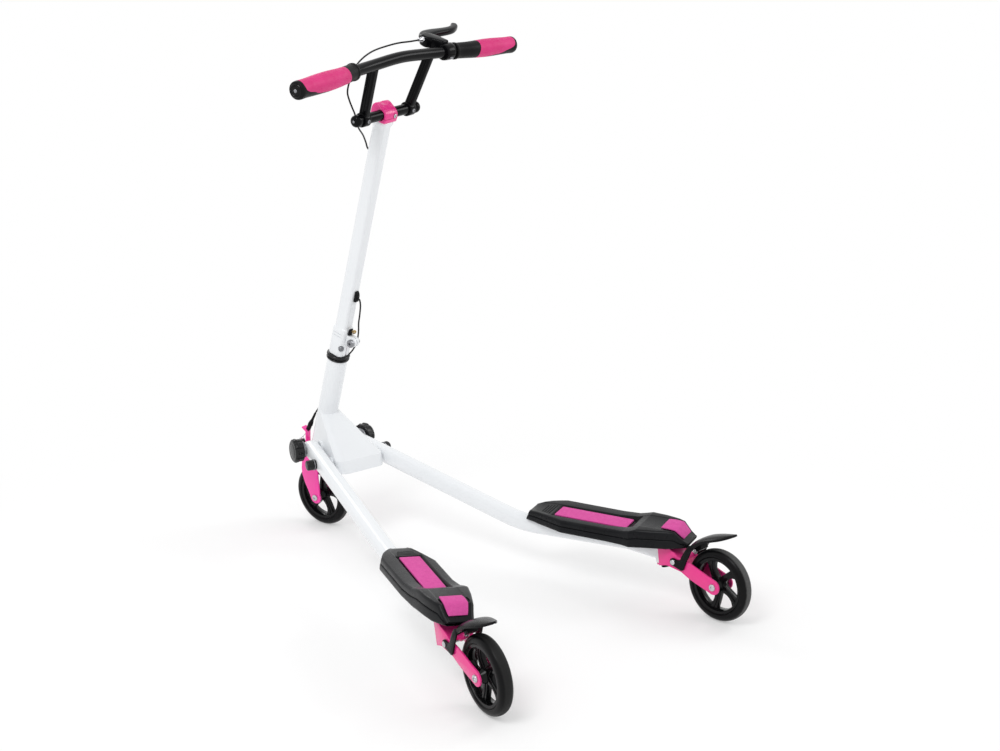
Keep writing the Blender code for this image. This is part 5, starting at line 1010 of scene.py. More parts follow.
blade = handBrake["blade"]
route = smoothRoute([(x, y, up) for x, y, wide in blade], 4)
wides = [point.x for point in smoothRoute([(wide, 0, 0) for x, y, wide in blade], 4)]
route.append(route[-1] + (route[-1] - route[-2]) * 0.35)
wides.append(wides[-1] * 0.45)
sizes = [(wide, (thick + 0.0036) * min(1.0, 0.45 + wide / 0.022)) for wide in wides]
lever = skinned(sweptRings(route, sizes, 24, 0.66))
eye, pin = handBrake["eye"]
add(lever, rodded(eye, up - thick / 2, up + thick / 2, bevel=(0.0008, 2), at=pinSpot),
    rodded(pin, low, high, steps=32, at=pinSpot))
finished(lever, "lever_blade", "lever", "black_paint", stands="brake_lever", smooth=40)
length = (adjTip - adjSeat).length
count, crest, root = handBrake["flutes"]
flutes = []
for step in range(count):
    radius, angle = crest if step % 4 < 2 else root, 2 * math.pi * step / count
    flutes.append((radius * math.cos(angle), radius * math.sin(angle)))
barrel = slab(flutes, *handBrake["barrel"], bevel=(0.00012, 1))
add(barrel, spun([*mm((0, -3), (3, -3), (3.2, -2.6), (3.2, 1.5), (4, 1.5), (4, 6.4), (3.6, 6.8)),
                  (0.0036, length - 0.0024), (0.0031, length - 0.0018), (0.0026, length),
                  (0, length)], steps=40))
aimed(barrel, adjSeat, adjTip)
finished(barrel, "cable_adjuster", "steering", "bright_steel", stands="barrel_adjuster")

grommet = slab(
    mm((-13.8, 504), (-15.5, 503.4), (-17.3, 503.2), (-19, 504), (-20.1, 505.8), (-20.4, 509),
       (-20.4, 515), (-19.7, 518.5), (-18.4, 521.3), (-16.6, 523.8), (-13.8, 525)),
    -0.0048, 0.0048, "X", bevel=(0.0016, 3, 50))
finished(grommet, "cable_boot", "steering", "black_rubber", stands="cable_grommet")
print("hand brake done")


# Wheels: one is modelled round the X axis and copied to its three places
wheel = {
    "half": 0.01175, "inner": 0.0492, "rim": 0.0432, "rimHalf": 0.0098, "hub": 0.0125,
    "hubHalf": 0.0148, "bore": 0.0043, "spokes": 5, "spokeHalf": 0.0060, "sweep": 16, "steps": 110,
    "crown": (0.0505, 0.0120), "lips": ((0.0004, 0.0098), (0, 0.0094)), "road": (0.0585, 0.0605),
    "spoke": mm((13, 6.8), (17.5, 5.9), (23, 5.5), (29, 5.7), (34.5, 6.6), (39, 8.2), (42, 10.2)),
}


# The tread band is mixed towards a lighter grey, by an amount given for each wheel
def tyreLook(name, frameMatrix, colour, worn):
    look = Look(name, 0.24, specular=0.12)
    local = look.node("ShaderNodeMapping", {"vector_type": "TEXTURE"}, {
        "Vector": look.spot(), "Location": frameMatrix.to_translation(),
        "Rotation": frameMatrix.to_euler()})
    parts = look.node("ShaderNodeSeparateXYZ", inputs={0: local})
    across = look.node("ShaderNodeMath", {"operation": "ABSOLUTE"}, {0: parts})
    scuffs = look.noise(260, 4.0, 0.65)
    edge = look.ranged(across + scuffs * 0.004, 0.0070, 0.0095, 1.0, 0.0)
    flat = look.node("ShaderNodeVectorMath", {"operation": "MULTIPLY"}, {0: local, 1: (0, 1, 1)})
    away = look.node("ShaderNodeVectorMath", {"operation": "LENGTH"}, {0: flat}, out=1)
    road = edge * look.ranged(away, *wheel["road"]) * look.ranged(scuffs, 0.25, 0.7, 0.55, 1.0)
    look.feed("Base Color", look.blended(road, colour, worn))
    look.feed("Roughness", look.ranged(road + scuffs * 0.2, 0.0, 1.0, 0.26, 0.62))
    look.bump(scuffs * 0.5 + look.noise(2200, 1.0) * 0.3, 0.08, 0.0002)
    return look.material


section = []
base, height = wheel["crown"]
for step in range(25):
    angle = math.radians(-90 + step * 7.5)
    section.append((base + height * abs(math.cos(angle)) ** 0.82,
                    wheel["half"] * math.copysign(abs(math.sin(angle)) ** 0.9, math.sin(angle))))
lips = [(wheel["inner"] + past, x) for past, x in wheel["lips"]]
section = [(radius, -x) for radius, x in reversed(lips)] + section + lips
tyre = spun(section, "X", wheel["steps"], ring=True)

rim, half, outer = wheel["rim"], wheel["rimHalf"], wheel["inner"] - 0.0003
core = spun([
    (rim + 0.0008, -half), (outer - 0.0005, -half), (outer, -half + 0.0005), (outer, half - 0.0005),
    (outer - 0.0005, half), (rim + 0.0008, half), (rim, half - 0.0010), (rim, 0.0058),
    (rim - 0.0010, 0.0040), (rim - 0.0010, -0.0040), (rim, -0.0058), (rim, -half + 0.0010)],
    "X", wheel["steps"], ring=True)
hub, hubHalf = wheel["hub"], wheel["hubHalf"]
boss = [(hub, 0.0060), (hub - 0.0008, 0.0080), (hub - 0.0030, 0.0110),
        (hub - 0.0040, hubHalf - 0.0006), (hub - 0.0046, hubHalf), (wheel["bore"], hubHalf)]
add(core, spun(mirroredHalf(boss), "X", 60, ring=True))
widths = [(hub - 0.0030, 0.0074), *wheel["spoke"], (rim + 0.0020, 0.0120)]


# A curved spoke, or the raised rib along it, as a share of the spoke's width
def spokeOutline(share):
    edges = ([], [])
    for radius, wide in widths:
        along = (radius - widths[0][0]) / (widths[-1][0] - widths[0][0])
        angle = math.radians(wheel["sweep"]) * along * along
        ahead = Vector((math.cos(angle), math.sin(angle)))
        across = Vector((-ahead.y, ahead.x))
        for points, sign in zip(edges, (1, -1)):
            points.append(tuple(ahead * radius + across * wide * sign * share))
    return edges[0] + edges[1][::-1]


reach = wheel["spokeHalf"]
for number in range(wheel["spokes"]):
    turn = Matrix.Rotation(2 * math.pi * number / wheel["spokes"], 4, "X")
    for share, half, bevel in ((1.0, reach - 0.0012, (0.0010, 3)), (0.34, reach, (0.0006, 2))):
        add(core, slab(spokeOutline(share), -half, half, "X", bevel=bevel, matrix=turn))
seal = [(0.0045, hubHalf - 0.0006), (0.0074, hubHalf - 0.0006), (0.0074, hubHalf + 0.0001),
        (0.0070, hubHalf + 0.00015), (0.0045, hubHalf + 0.0001)]
seal = spun(seal, "X", 40, ring=True)
choose(seal, placed(copied(seal), rotated(180, "Z")))
bpy.ops.object.join()
seal = bpy.context.object


def axlePin(bladeInner, bladeOuter):
    head, shoulder, sleeve = bladeOuter + 0.0003, hubHalf + 0.0003, bladeInner - 0.0003
    end = [(0, head + 0.0030), (0.0048, head + 0.0030), (0.0055, head + 0.0027),
           (0.0060, head + 0.0019), (0.0062, head + 0.0004), (0.0062, head), (0.0040, head),
           (0.0040, sleeve), (0.0063, sleeve), (0.0065, sleeve - 0.0002),
           (0.0065, shoulder + 0.0002), (0.0063, shoulder), (0.0040, shoulder)]
    pin = spun(end + [(radius, -x) for radius, x in reversed(end)], "X", 44)
    for sign in (-1, 1):
        hexed(pin, 0.0050, 0.0020, (sign * (head + 0.0030), 0, 0))
    return pin


# From the photograph's plane of a caster, (distance ahead of its wheel, height), to its own frame
def tilted(s, z):
    ahead, above, slant = s - 0.117, z - wheelRadius, math.radians(lean["kingpin"])
    return (ahead * math.cos(slant) - above * math.sin(slant),
            ahead * math.sin(slant) + above * math.cos(slant))


caster = {"inner": 0.0166, "outer": 0.0198, "plate": 0.0032, "top": 0.0438, "low": 0.0082,
          "reach": 0.0182, "round": 0.0150, "pivot": (0.0840, 0.0845), "pinHole": 0.0031,
          "gap": 0.0003, "postHalf": 0.0045, "flats": 6, "flat": (0.0077, -0.02, 0.02, 0.02)}
axleSpot = (0, *tilted(0, wheelRadius))
rearSize = (caster["inner"], caster["outer"])
# The last number of each row is how light a grey that wheel's tread band is mixed towards
for tag, body, matrix, carrier, blades, worn in (
        ("front", "front_wheel", steering @ moved(0, *axle), "steering",
         (fork["inner"], fork["half"]), 0.055),
        ("rear_left", "wheel_left", casterFrames["left"] @ moved(*axleSpot), "caster_left",
         rearSize, 0.018),
        ("rear_right", "wheel_right", casterFrames["right"] @ moved(*axleSpot), "caster_right",
         rearSize, 0.10)):
    looks["tyre_" + tag] = tyreLook("tyreRubber_" + tag, matrix, (0.003, 0.003, 0.0035), [worn] * 3)
    for piece, name, bodyName, slot, look, node, smooth in (
            (copied(tyre), "tread", body, "tyre_black", "tyre_" + tag, f"{tag}_tyre", 40),
            (copied(core), "centre", body, "black_plastic", "core_gloss", f"{tag}_core", 40),
            (copied(seal), "seals", body, "bright_steel", "grey_steel", None, 40),
            (axlePin(*blades), "bolt", carrier, "bright_steel", None, f"{tag}_axle", 35)):
        finished(piece, f"{tag}_{name}", bodyName, slot, look, node, smooth=smooth, matrix=matrix)
choose(tyre, core, seal)
bpy.ops.object.delete()
print("wheels done")


# Arms: an oval tube with soft ridges, bent behind the body, with a sleeve for the caster. The
# nose is a row of slices of a round end, given by their angles.
arm = {
    "drop": 0.0875, "rise": 0.0070, "bendY": -0.0247, "size": (0.0290, 0.0310),
    "tip": (0.0220, 0.0240), "nose": 0.0155, "slices": (84, 74, 62, 50, 38, 26, 13),
    "reach": 0.035, "sleeve": (0.0155, 0.0085, 0.0435, 0.0007), "bore": 0.0053,
    "indexHole": 0.0038, "indexY": -0.0580, "soft": (32, 0.74),
}
fold = joints["fold_right"]["pos_m"]
king = Vector((*kingpinSpot, 0)) - Vector((fold[0], fold[1], 0))
king.rotate(Matrix.Rotation(-math.radians(lean["splay"]), 3, "Z"))
bendRun = (fold[1] - arm["bendY"]) / math.cos(math.radians(lean["splay"]))
slope = arm["drop"] / bendRun
bend = Vector((0, -bendRun, -arm["drop"]))
end = Vector((king.x, king.y, bend.z + arm["rise"]))
sleeveLow, sleeveHigh = arm["sleeve"][1:3]
sleeveMiddle = (
    wheelRadius + (sleeveLow + sleeveHigh) / 2 * math.cos(math.radians(lean["kingpin"])) - fold[2])


def armSkin(grow=0.0, **pose):
    before = bend - bend.normalized() * arm["reach"]
    after = bend + (end - bend).normalized() * arm["reach"]
    curve = [before * (1 - t) ** 2 + bend * 2 * t * (1 - t) + after * t * t
             for t in (n / 10 for n in range(11))]
    upSlope = Vector((0, math.cos(math.atan(slope)), math.sin(math.atan(slope))))
    (width, height), (tipWidth, tipHeight) = arm["size"], arm["tip"]
    angles = [math.radians(angle) for angle in arm["slices"]]
    route = [upSlope * arm["nose"] * math.sin(angle) for angle in angles]
    sizes = [(width, height * math.cos(angle)) for angle in angles]
    last = curve[-1]
    neck = end + Vector((0, 0, sleeveMiddle - end.z))
    heading = (last - end).normalized()
    route += [Vector((0, 0, 0)), bend * 0.2, bend * 0.45, bend * 0.7, *curve,
              last.lerp(end, 0.3), last.lerp(end, 0.60), last.lerp(end, 0.72)]
    sizes += [(width, height)] * (len(route) - len(sizes))
    start, stop = route[-1], neck + heading * 0.024
    for share in (0.35, 0.7):
        soft = share * share * (3 - 2 * share)
        route.append(start.lerp(stop, share))
        sizes.append((width + (tipWidth - width) * soft, height + (tipHeight - height) * soft))
    route += [stop, neck + heading * 0.004]
    sizes += [(tipWidth, tipHeight)] * 2
    sizes = [(a + 2 * grow, b + 2 * grow) for a, b in sizes]
    return skinned(sweptRings(route, sizes, *arm["soft"]), **pose)


indexSpot = (0, arm["indexY"], arm["indexY"] * slope)
for side in sides:
    pose = handed(pivotFrames, side)
    upright = kingpinFrames[side]
    limb = add(armSkin(**pose), spun(plug(*arm["sleeve"]), steps=56, matrix=upright))
    cut(limb, rodded(arm["bore"], sleeveLow - 0.03, sleeveHigh + 0.03, matrix=upright),
        rodded(0.045, sleeveHigh, sleeveHigh + 0.02, steps=48, matrix=upright),
        rodded(arm["bore"], -0.03, 0.03, "X", matrix=pivotFrames[side]),
        rodded(arm["indexHole"], -0.03, 0.03, "X", at=indexSpot, **pose))
    finished(limb, "arm_tube", f"arm_{side}", "white_paint", stands="arm", side=side, smooth=40)
print("arms done")


# Arm pivots: bolt with spacer, fluted knob, and a spring-loaded index pin. Each row of flutes is
# how many there are, their radius, where they start and end, and how far out they are.
pivot = {
    "bolt": mm((0, -32.5), (4.4, -32.5), (5, -31.9), (5, 14.8), (14.5, 14.8), (15.2, 15),
               (15.5, 15.7), (15.5, 17), (14.9, 17.4), (14.9, 18.2), (15.5, 18.6), (15.5, 19.6),
               (15.1, 20.3), (14.3, 20.5), (5, 20.5), (5, 29.4), (4.4, 30), (0, 30)),
    "knob": mm((0, 30), (5.3, 30), (5.3, 20.8), (15, 20.8), (20.6, 20.8), (21.4, 21.6), (21.8, 30),
               (22.6, 31), (23, 31.6), (22.9, 34.5), (22.2, 36.2), (20.8, 37.8), (18.8, 38.8),
               (16, 39), (15.2, 38.6), (14.4, 39), (8, 39.4), (0, 39.5)),
    "knobFlutes": (8, 0.0050, 0.0222, 0.0450, 0.0248), "knobBevel": (0.0009, 3, 40),
    "index": mm((0, -14.5), (2.8, -14.5), (3.5, -13.8), (3.5, 14.8), (9.6, 14.8), (10, 15.2),
                (10, 17.2), (9.6, 17.6), (8.2, 18.2), (8.2, 19.4), (9.4, 20.2), (9.7, 20.8),
                (9.7, 29.2), (9.4, 30.4), (8.6, 31.4), (7.8, 31.9), (3, 32), (0, 32)),
    "indexFlutes": (12, 0.0011, 0.0222, 0.0330, 0.0104),
    "ring": mm((8.3, 17.6), (10.4, 17.6), (10.7, 17.9), (10.7, 18.8), (10.4, 19.1), (8.3, 19.1)),
}


def fluted(piece, flutes, steps, offset=0.0):
    count, radius, low, high, out = flutes
    for number in range(count):
        turn = Matrix.Rotation(2 * math.pi * (number + offset) / count, 4, "X")
        cut(piece, rodded(radius, low, high, "X", steps, at=(0, out, 0), matrix=turn))
    return piece


for side in sides:
    frames = {"side": side, "matrix": pivotFrames[side]}
    bolt = spun(pivot["bolt"], "X", 60)
    finished(bolt, "pivot_spacer", "frame", "grey_steel", stands="pivot_bolt", **frames)
    knob = fluted(spun(pivot["knob"], "X", 96), pivot["knobFlutes"], 28, 0.5)
    bevelled(knob, *pivot["knobBevel"])
    finished(knob, "knob_grip", f"knob_{side}", "black_plastic", "knob_plastic", "pivot_knob",
             **frames)
    stud = fluted(spun(pivot["index"], "X", 48), pivot["indexFlutes"], 12)
    shifted(stud, *indexSpot)
    finished(stud, "index_knob", f"index_{side}", "black_plastic", "knob_plastic", "index_pin",
             **frames)
    ring = spun(pivot["ring"], "X", 48, ring=True, at=indexSpot)
    finished(ring, "index_ring", f"index_{side}", "grey_steel", **frames)
print("pivots done")


# Footplates: moulded shells with faceted rims, a dished tread and a raised heel.
# Each row is the distance behind the pad's middle, then a half width or a height.
plate = {
    "inner": mm((-121, 18), (-85, 29), (-48, 41), (64, 41), (87, 47), (125, 40), (163, 30),
                (185, 24)),
    "outer": mm((-121, 22), (-100, 38), (-73, 49), (40, 47), (95, 42), (136, 38), (157, 31),
                (185, 22)),
    "rim": mm((-121, -2), (-110, 0.5), (-85, 1.8), (60, 2.6), (78, 7), (98, 13.2), (150, 14.2),
              (162, 13.2), (176, -0.5), (185, -6)),
    "skirt": mm((-121, -20), (-100, -21.5), (90, -21.5), (110, -18.5), (150, -18.5), (170, -16),
                (185, -13)),
    "stations": (-0.121, -0.110, -0.098, -0.085, -0.0745, -0.0730, -0.048, 0.040, 0.0720, 0.0735,
                 0.0850, 0.098, 0.125, 0.150, 0.162, 0.176, 0.185),
    "place": (0.192535, -0.1622, 0.1273), "splay": 20.30, "bank": 5.0,
    "pad": (0.0360, 0.1390, 0.0030), "padCorner": 0.0022, "margin": 0.0035, "wall": 0.0035,
    "roof": 0.0055, "cellInner": 0.0190, "toeLean": 0.0065,
    "ribs": (-0.0955, -0.0905, -0.0855, -0.0805), "slots": (-0.0240, 0.0215),
    "cells": mm((-104, -66), (-62, -26), (-22, 14), (18, 54), (58, 92)),
    "heel": mm((136, 18.2), (145, 19.2), (162, 19.5), (172, 16.8), (176, 15)),
    "heelSteps": 14, "heelThick": 0.0022, "heelEnd": 0.0014, "heelLift": 0.0006,
    "slot": (0.0013, -0.1560, -0.1420, 0.0110, 0.0200), "rib": (0.0010, 0.0120, 0.0009, 0.004),
    "sleeveRoom": (0.0340, 0.0042), "headRoom": (0.0115, 0.0010), "boltHead": 0.0035, "gap": 0.0003,
}
for side, sign in sides.items():
    x, y, z = plate["place"]
    turn = rotated(sign * plate["splay"], "Z") @ rotated(-sign * plate["bank"], "Y")
    plateFrames[side] = moved(sign * x, y, z) @ turn
padWidth, padLength, padThick = plate["pad"]
padSeat = -0.6 * padThick


def readRow(table, at):
    if at <= table[0][0]:
        return table[0][1]
    for (near, low), (far, high) in zip(table, table[1:]):
        if at <= far:
            return low + (high - low) * (at - near) / (far - near)
    return table[-1][1]


def plateTop(s):
    rim = readRow(plate["rim"], s)
    inside = abs(s) <= padLength / 2 + plate["margin"] + 0.0005
    return min(rim, padSeat) if inside else rim - 0.0008


def plateRing(s):
    rim, low, top = readRow(plate["rim"], s), readRow(plate["skirt"], s), plateTop(s)
    groove = low + (rim - low) * 0.52
    halves = []
    for edge, sign in ((readRow(plate["outer"], s), 1), (readRow(plate["inner"], s), -1)):
        dish = min(padWidth / 2 + plate["margin"], edge - 0.0085)
        halves.append([(sign * x, z) for x, z in (
            (edge - 0.0034, low), (edge - 0.0008, low + 0.0008), (edge, low + 0.0030),
            (edge, groove - 0.0020), (edge - 0.0006, groove - 0.0008),
            (edge - 0.0026, groove - 0.0004), (edge - 0.0026, groove + 0.0004),
            (edge - 0.0009, groove + 0.0010), (edge - 0.0011, rim - 0.0048),
            (edge - 0.0020, rim - 0.0022), (edge - 0.0034, rim - 0.0008), (edge - 0.0052, rim),
            (dish + 0.0030, rim), (dish + 0.0020, rim - 0.0004), (dish, top))])
    toeLean = plate["toeLean"] if s == plate["stations"][0] else 0.0
    section = halves[0] + halves[1][::-1]
    tall = max(z for x, z in section) - low
    return [(x, -s + toeLean * (low + tall - z) / tall, z) for x, z in section]


for side in sides:
    pose = handed(plateFrames, side)
    shell = skinned([plateRing(s) for s in plate["stations"]], bevel=(0.0009, 2, 14))
    # Grip ribs at the toe and drain slots beside the heel pad
    half, short, deep, above = plate["rib"]
    for s in plate["ribs"]:
        wide = min(readRow(plate["inner"], s), readRow(plate["outer"], s)) - short
        rise = readRow(plate["rim"], s) - 0.0008
        cut(shell, slab(box(-wide, -s - half, wide, -s + half), rise - deep, rise + above))
    half, rear, front, low, high = plate["slot"]
    for x in plate["slots"]:
        cut(shell, slab(box(x - half, rear, x + half, front), low, high))
    placed(shell, **pose)
    # Below: a channel for the arm, cells in the moulding, and room for the kingpin's sleeve
    cut(shell, armSkin(plate["gap"], **handed(pivotFrames, side)))
    for front, rear in plate["cells"]:
        for table, sign in (("outer", 1), ("inner", -1)):
            near = sign * plate["cellInner"]
            far = [sign * max(readRow(plate[table], s) - plate["wall"] - 0.0022, 0.0220)
                   for s in (front, rear)]
            cell = [(near, -front), (far[0], -front), (far[1], -rear), (near, -rear)]
            cut(shell, slab(cell, -0.040, -plate["roof"], **pose))
    upright = kingpinFrames[side]
    headTop = sleeveHigh + 2 * plate["gap"] + caster["plate"] + plate["boltHead"]
    (wide, above), (narrow, over) = plate["sleeveRoom"], plate["headRoom"]
    cut(shell, rodded(wide, sleeveLow - 0.01, sleeveHigh + above, steps=64, matrix=upright),
        rodded(narrow, sleeveHigh, headTop + over, steps=48, matrix=upright))
    finished(shell, "plate_shell", f"arm_{side}", "plate_plastic", stands="footplate", side=side,
             smooth=30)

    pad = roundedBox(padWidth, padLength, plate["padCorner"], 5)
    low = padSeat + plate["gap"]
    pad = slab(pad[12:] + pad[:12], low, low + padThick, bevel=(0.0009, 3, 60))
    finished(pad, "tread_pad", f"arm_{side}", "pink_pad", stands="main_pad", side=side,
             matrix=plateFrames[side])

    rings = []
    steps, (first, last) = plate["heelSteps"], (plate["heel"][0][0], plate["heel"][-1][0])
    for step in range(steps + 1):
        s = first + (last - first) * step / steps
        half = readRow(plate["heel"], s)
        rise = (readRow(plate["rim"], s + 0.004) - readRow(plate["rim"], s - 0.004)) / 0.008
        normal = Vector((0, rise, 1)).normalized()
        base = Vector((0, -s, plateTop(s))) + normal * plate["heelLift"]
        tall = plate["heelThick"] if 0 < step < steps else plate["heelEnd"]
        edge = [(half, 0.0012), (half - 0.0004, tall - 0.0003), (half - 0.0010, tall)]
        edge = [(half, 0), (-half, 0)] + [(-x, up) for x, up in edge] + edge[::-1]
        rings.append([base + Vector((x, 0, 0)) + normal * up for x, up in edge])
    pad = skinned(rings)
    finished(pad, "rear_pad", f"arm_{side}", "pink_pad", stands="heel_pad", side=side, smooth=50,
             matrix=plateFrames[side])
print("footplates done")


# Casters: a pressed yoke on a kingpin, a sprung foot brake, and its pin and coil
def cast(points):
    return [tilted(s, z) for s, z in points]


inner, outer, sheet = caster["inner"], caster["outer"], caster["plate"]
top, low, reach = caster["top"], caster["low"], caster["reach"]
outline = cast([
    *mm((68, 70), (58, 65.7), (48, 62), (37, 58.8), (26, 56)),
    *arc((0.0, wheelRadius), 0.0130, -65, -255, 20),
    *mm((15, 80), (27, 84), (49, 90.5), (62, 93), (77, 95), (85, 100))])
outline += [(-0.0265, 0.0375), (-0.0190, top + sheet), (-0.0080, top + sheet),
            (-0.0015, low - sheet), (-0.0185, low - sheet)]
yoke = slab(outline, inner, outer, "X", bevel=(0.0007, 2, 28))
cap, base = ([(-reach, rear), (-reach, front), *arc((0, 0), caster["round"], 180 - past, past, 22),
              (reach, front), (reach, rear)]
             for rear, front, past in ((-0.0180, -0.0075, 10), (-0.0170, -0.0020, 8)))
web = [(-0.0165, top), (-0.0165, top + sheet - 0.0002), (-0.0186, top + sheet - 0.0002),
       (-0.0262, 0.0372), *cast(mm((77.5, 94), (76.5, 89.5), (80, 89.5))),
       (-0.0250, 0.0335), (-0.0174, 0.0418)]
post = cast(mm((79, 94), (70, 94.5), (62.5, 101), (61.2, 104), (59.8, 105), (57, 103.5),
               (53.5, 101), (58, 96.5), (68, 89.5), (79, 89.5)))
add(yoke, slab(outline, -outer, -inner, "X", bevel=(0.0007, 2, 28)),
    slab(cap, top, top + sheet - 0.0001, bevel=(0.0006, 2)),
    slab(base, low - sheet + 0.0001, low, bevel=(0.0006, 2)),
    slab(web, -reach, reach, "X"),
    slab(post, -caster["postHalf"], caster["postHalf"], "X", bevel=(0.0005, 2)))
pinSpot = (0, *tilted(*caster["pivot"]))
cut(yoke, rodded(arm["bore"], low - 0.03, top + 0.03),
    rodded(wheel["bore"], -0.04, 0.04, "X", at=axleSpot),
    rodded(caster["pinHole"], -0.04, 0.04, "X", 32, at=pinSpot))

nut, seat = low - sheet - caster["gap"], top + sheet + caster["gap"]
kingpin = spun([
    (0, nut - 0.0070), (0.0030, nut - 0.0070), (0.0036, nut - 0.0064), (0.0075, nut - 0.0062),
    (0.0083, nut - 0.0054), (0.0085, nut - 0.0046), (0.0085, nut - 0.0004), (0.0081, nut),
    (0.0050, nut), (0.0050, seat), (0.0081, seat), (0.0085, seat + 0.0005),
    (0.0085, seat + 0.0024), (0.0080, seat + 0.0032), (0.0070, seat + 0.0035), (0, seat + 0.0035)])
hexed(kingpin, 0.0060, 0.0022, (0, 0, seat + 0.0035), "Z")
for step in range(caster["flats"]):
    turn = Matrix.Rotation(2 * math.pi * step / caster["flats"], 4, "Z")
    cut(kingpin, slab(box(*caster["flat"]), nut - 0.0060, nut - 0.0008, matrix=turn))

# The fender: a curved spoon that narrows to its tail, two hook legs and a shoe over the tyre.
# Each row of the spoon is a point and its thickness.
brake = {
    "clear": 0.0010, "leg": 0.0030, "shoe": (0.0655, 0.0765, 0.0090), "post": (0.0036, 0, 0.0065),
    # The bow across it, and how its edges thin out: past which share, by how much
    "bow": 0.0040, "fadeWidth": 0.018, "thinFrom": 0.86, "thin": 0.35, "under": 0.96, "across": 12,
}
legInner = outer + brake["clear"]
legOuter = legInner + brake["leg"]
spoon = mm((52, 117.5, 8.5), (48, 123.5, 8.5), (39, 131.5, 8), (25, 140, 7), (8, 146.5, 6),
           (-8, 151.5, 5), (-20, 155.2, 4.2), (-28, 158, 3.6))
halfWidths = (legOuter - 0.0004, legOuter - 0.0004, legOuter - 0.0006, legOuter - 0.0014,
              0.0205, 0.0160, 0.0095, 0.0030)
route = smoothRoute(spoon, 3)
spans = [spot.x for spot in smoothRoute([(half, 0, 0) for half in halfWidths], 3)]
shares = [-1 + 2 * step / brake["across"] for step in range(brake["across"] + 1)]
rings = []
for index, spot in enumerate(route):
    near, far = neighbours(route, index)
    heading = Vector((far.x - near.x, far.y - near.y)).normalized()
    above = Vector((heading.y, -heading.x))
    above = -above if above.y < 0 else above
    ring = []
    for face, drop, order in ((1.0, 1.0, shares), (-1.0, brake["under"], shares[::-1])):
        for share in order:
            bow = -brake["bow"] * abs(share) ** 2.6 * min(1.0, spans[index] / brake["fadeWidth"])
            thinned = max(0.0, abs(share) - brake["thinFrom"]) / (1 - brake["thinFrom"])
            edge = 1 - brake["thin"] * thinned
            lift = bow + face * spot.z / 2 * edge
            ring.append((share * drop * spans[index],
                         *tilted(spot.x + above.x * lift, spot.y + above.y * lift)))
    rings.append(ring)
fender = skinned(rings)
leg = cast([
    *arc(caster["pivot"], 0.0070, 100, -70, 16), (0.0800, 0.0772), (0.0760, 0.0760),
    *arc((0.0660, 0.0800), 0.0060, -60, -180, 12),
    *mm((57.2, 88), (54, 96), (51, 102), (48.5, 108), (46.5, 114), (45.5, 120), (47.5, 122.8),
        (50, 124), (54, 120.5), (57.5, 115), (61, 109.5), (64, 104), (66.8, 98), (69, 93),
        (72, 91.2), (76, 90.5))])
wheelSpot = (0.0, wheelRadius)
near, far, half = brake["shoe"]
shoe = cast(arc(wheelSpot, near, 47, 58, 10) + arc(wheelSpot, far, 58, 47, 10))
coilFoot, coilHead = (Vector((0, *spot)) for spot in cast(((0.05665, 0.1030), (0.0508, 0.1126))))
along = (coilHead - coilFoot).normalized()
coil = {"radius": 0.0030, "wire": 0.0006, "pitch": 0.0018, "turns": 4, "start": 0.0006,
        "gap": 0.0003, "keep": 0.78}
coilSeat = coilFoot + along * (coil["turns"] * coil["pitch"] + 2 * coil["wire"] + 2 * coil["gap"])
add(fender, *(slab(leg, start, start + brake["leg"], "X", bevel=(0.0007, 2, 28))
              for start in (legInner, -legOuter)),
    slab(shoe, -half, half, "X"), aimed(rodded(*brake["post"]), coilSeat, coilSeat + along))
cut(fender, rodded(caster["pinHole"], -0.04, 0.04, "X", 32, at=pinSpot))

coilWire = meshed(piped(coiled(coil, 12), coil["wire"], sides=3, fine=3))
aimed(coilWire, coilFoot + along * coil["gap"], coilHead)
face = legOuter + caster["gap"]
rivet = spun(mirroredHalf([
    (0.0028, face), (0.0048, face), (0.0048, face + 0.0010), (0.0042, face + 0.0018),
    (0.0030, face + 0.0022), (0, face + 0.0022)]), "X", 40, at=pinSpot)
for side in sides:
    matrix = casterFrames[side]
    for made, name, body, slot, node, smooth in (
            (yoke, "yoke", "caster", "pink_paint", "caster_fork", 30),
            (kingpin, "kingbolt", "caster", "black_paint", "kingpin", 30),
            (fender, "foot_brake", "fender", "black_plastic", "fender", 40),
            (coilWire, "brake_coil", "caster", "bright_steel", "fender_spring", 60),
            (rivet, "brake_rivet", "caster", "bright_steel", "fender_pin", 35)):
        piece = finished(copied(made), name, f"{body}_{side}", slot, None, node, side, False,
                         smooth, matrix)
        if made is coilWire:
            matrix.to_3x3() @ along
            matrix @ coilFoot
            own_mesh(piece)
choose(yoke, kingpin, fender, coilWire, rivet)
bpy.ops.object.delete()
print("casters done")


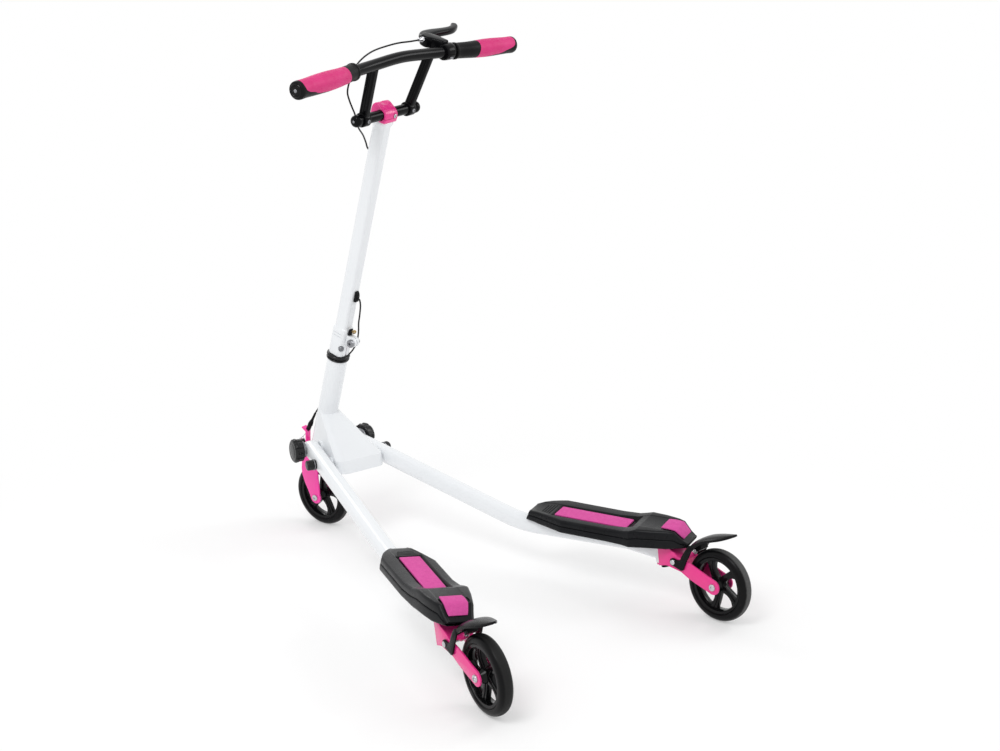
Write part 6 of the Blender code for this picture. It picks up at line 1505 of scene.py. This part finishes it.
# Studio: a plain pale floor, a white world for the camera, and soft light from all round. Each
# lamp has a place, a target, a size and a power.
studio = {"floor": -0.0006, "size": 24, "paper": (0.96, 0.96, 0.96, 1), "dome": 0.74, "glow": 0.30,
          "fade": (0.45, 1.15), "lamps": (
              ((-1.9, -0.9, 2.6), (0, 0, 0.45), 1.1, 30.0),
              ((2.3, -1.0, 1.9), (0, 0, 0.4), 0.9, 12.0),
              ((0.3, 2.3, 2.2), (0, 0, 0.4), 1.0, 12.0))}
deselect()
bpy.ops.mesh.primitive_plane_add(size=studio["size"], location=(0, 0, 0))
floor = bpy.context.object
floor.name = "studio_floor"
shifted(floor, 0, 0, studio["floor"])
ground = bpy.data.materials.new("studioFloor")
paper = Nodes(ground)
away = paper.node("ShaderNodeVectorMath", {"operation": "LENGTH"}, {0: paper.spot()}, 1)
share = paper.node("ShaderNodeMapRange", {"interpolation_type": "SMOOTHSTEP"}, {
    "Value": away, "From Min": studio["fade"][0], "From Max": studio["fade"][1],
    "To Min": studio["glow"]})
sheet = paper.node("ShaderNodeBsdfDiffuse", inputs={"Color": studio["paper"]})
white = paper.node("ShaderNodeEmission", inputs={"Strength": 1.0})
paper.node("ShaderNodeOutputMaterial", inputs={
    "Surface": paper.node("ShaderNodeMixShader", inputs={0: share, 1: sheet, 2: white})})
floor.data.materials.append(ground)

# Rays from the camera and from gloss see plain white, the light from the dome is softer
world = bpy.data.worlds.new("studioWorld")
bpy.context.scene.world = world
sky = Nodes(world)
seen = sky.node("ShaderNodeLightPath", out="Is Camera Ray")
for name in ("Is Glossy Ray", "Is Transmission Ray"):
    ray = sky.node("ShaderNodeLightPath", out=name)
    seen = sky.node("ShaderNodeMath", {"operation": "MAXIMUM"}, {0: seen, 1: ray})
level = sky.node("ShaderNodeMapRange", inputs={
    "Value": seen, "To Min": studio["dome"], "To Max": 1.0})
sky.node("ShaderNodeOutputWorld", inputs={
    "Surface": sky.node("ShaderNodeBackground", inputs={"Color": (1, 1, 1, 1), "Strength": level})})
for number, (place, target, size, power) in enumerate(studio["lamps"]):
    bpy.ops.object.light_add(type="AREA", location=place)
    lamp = bpy.context.object
    lamp.name = f"soft_lamp_{number}"
    lamp.rotation_euler = (Vector(target) - Vector(place)).to_track_quat("-Z", "Y").to_euler()
    lamp.data.size = size
    lamp.data.energy = power
bpy.context.scene.view_settings.view_transform = "Standard"
print("studio ready")
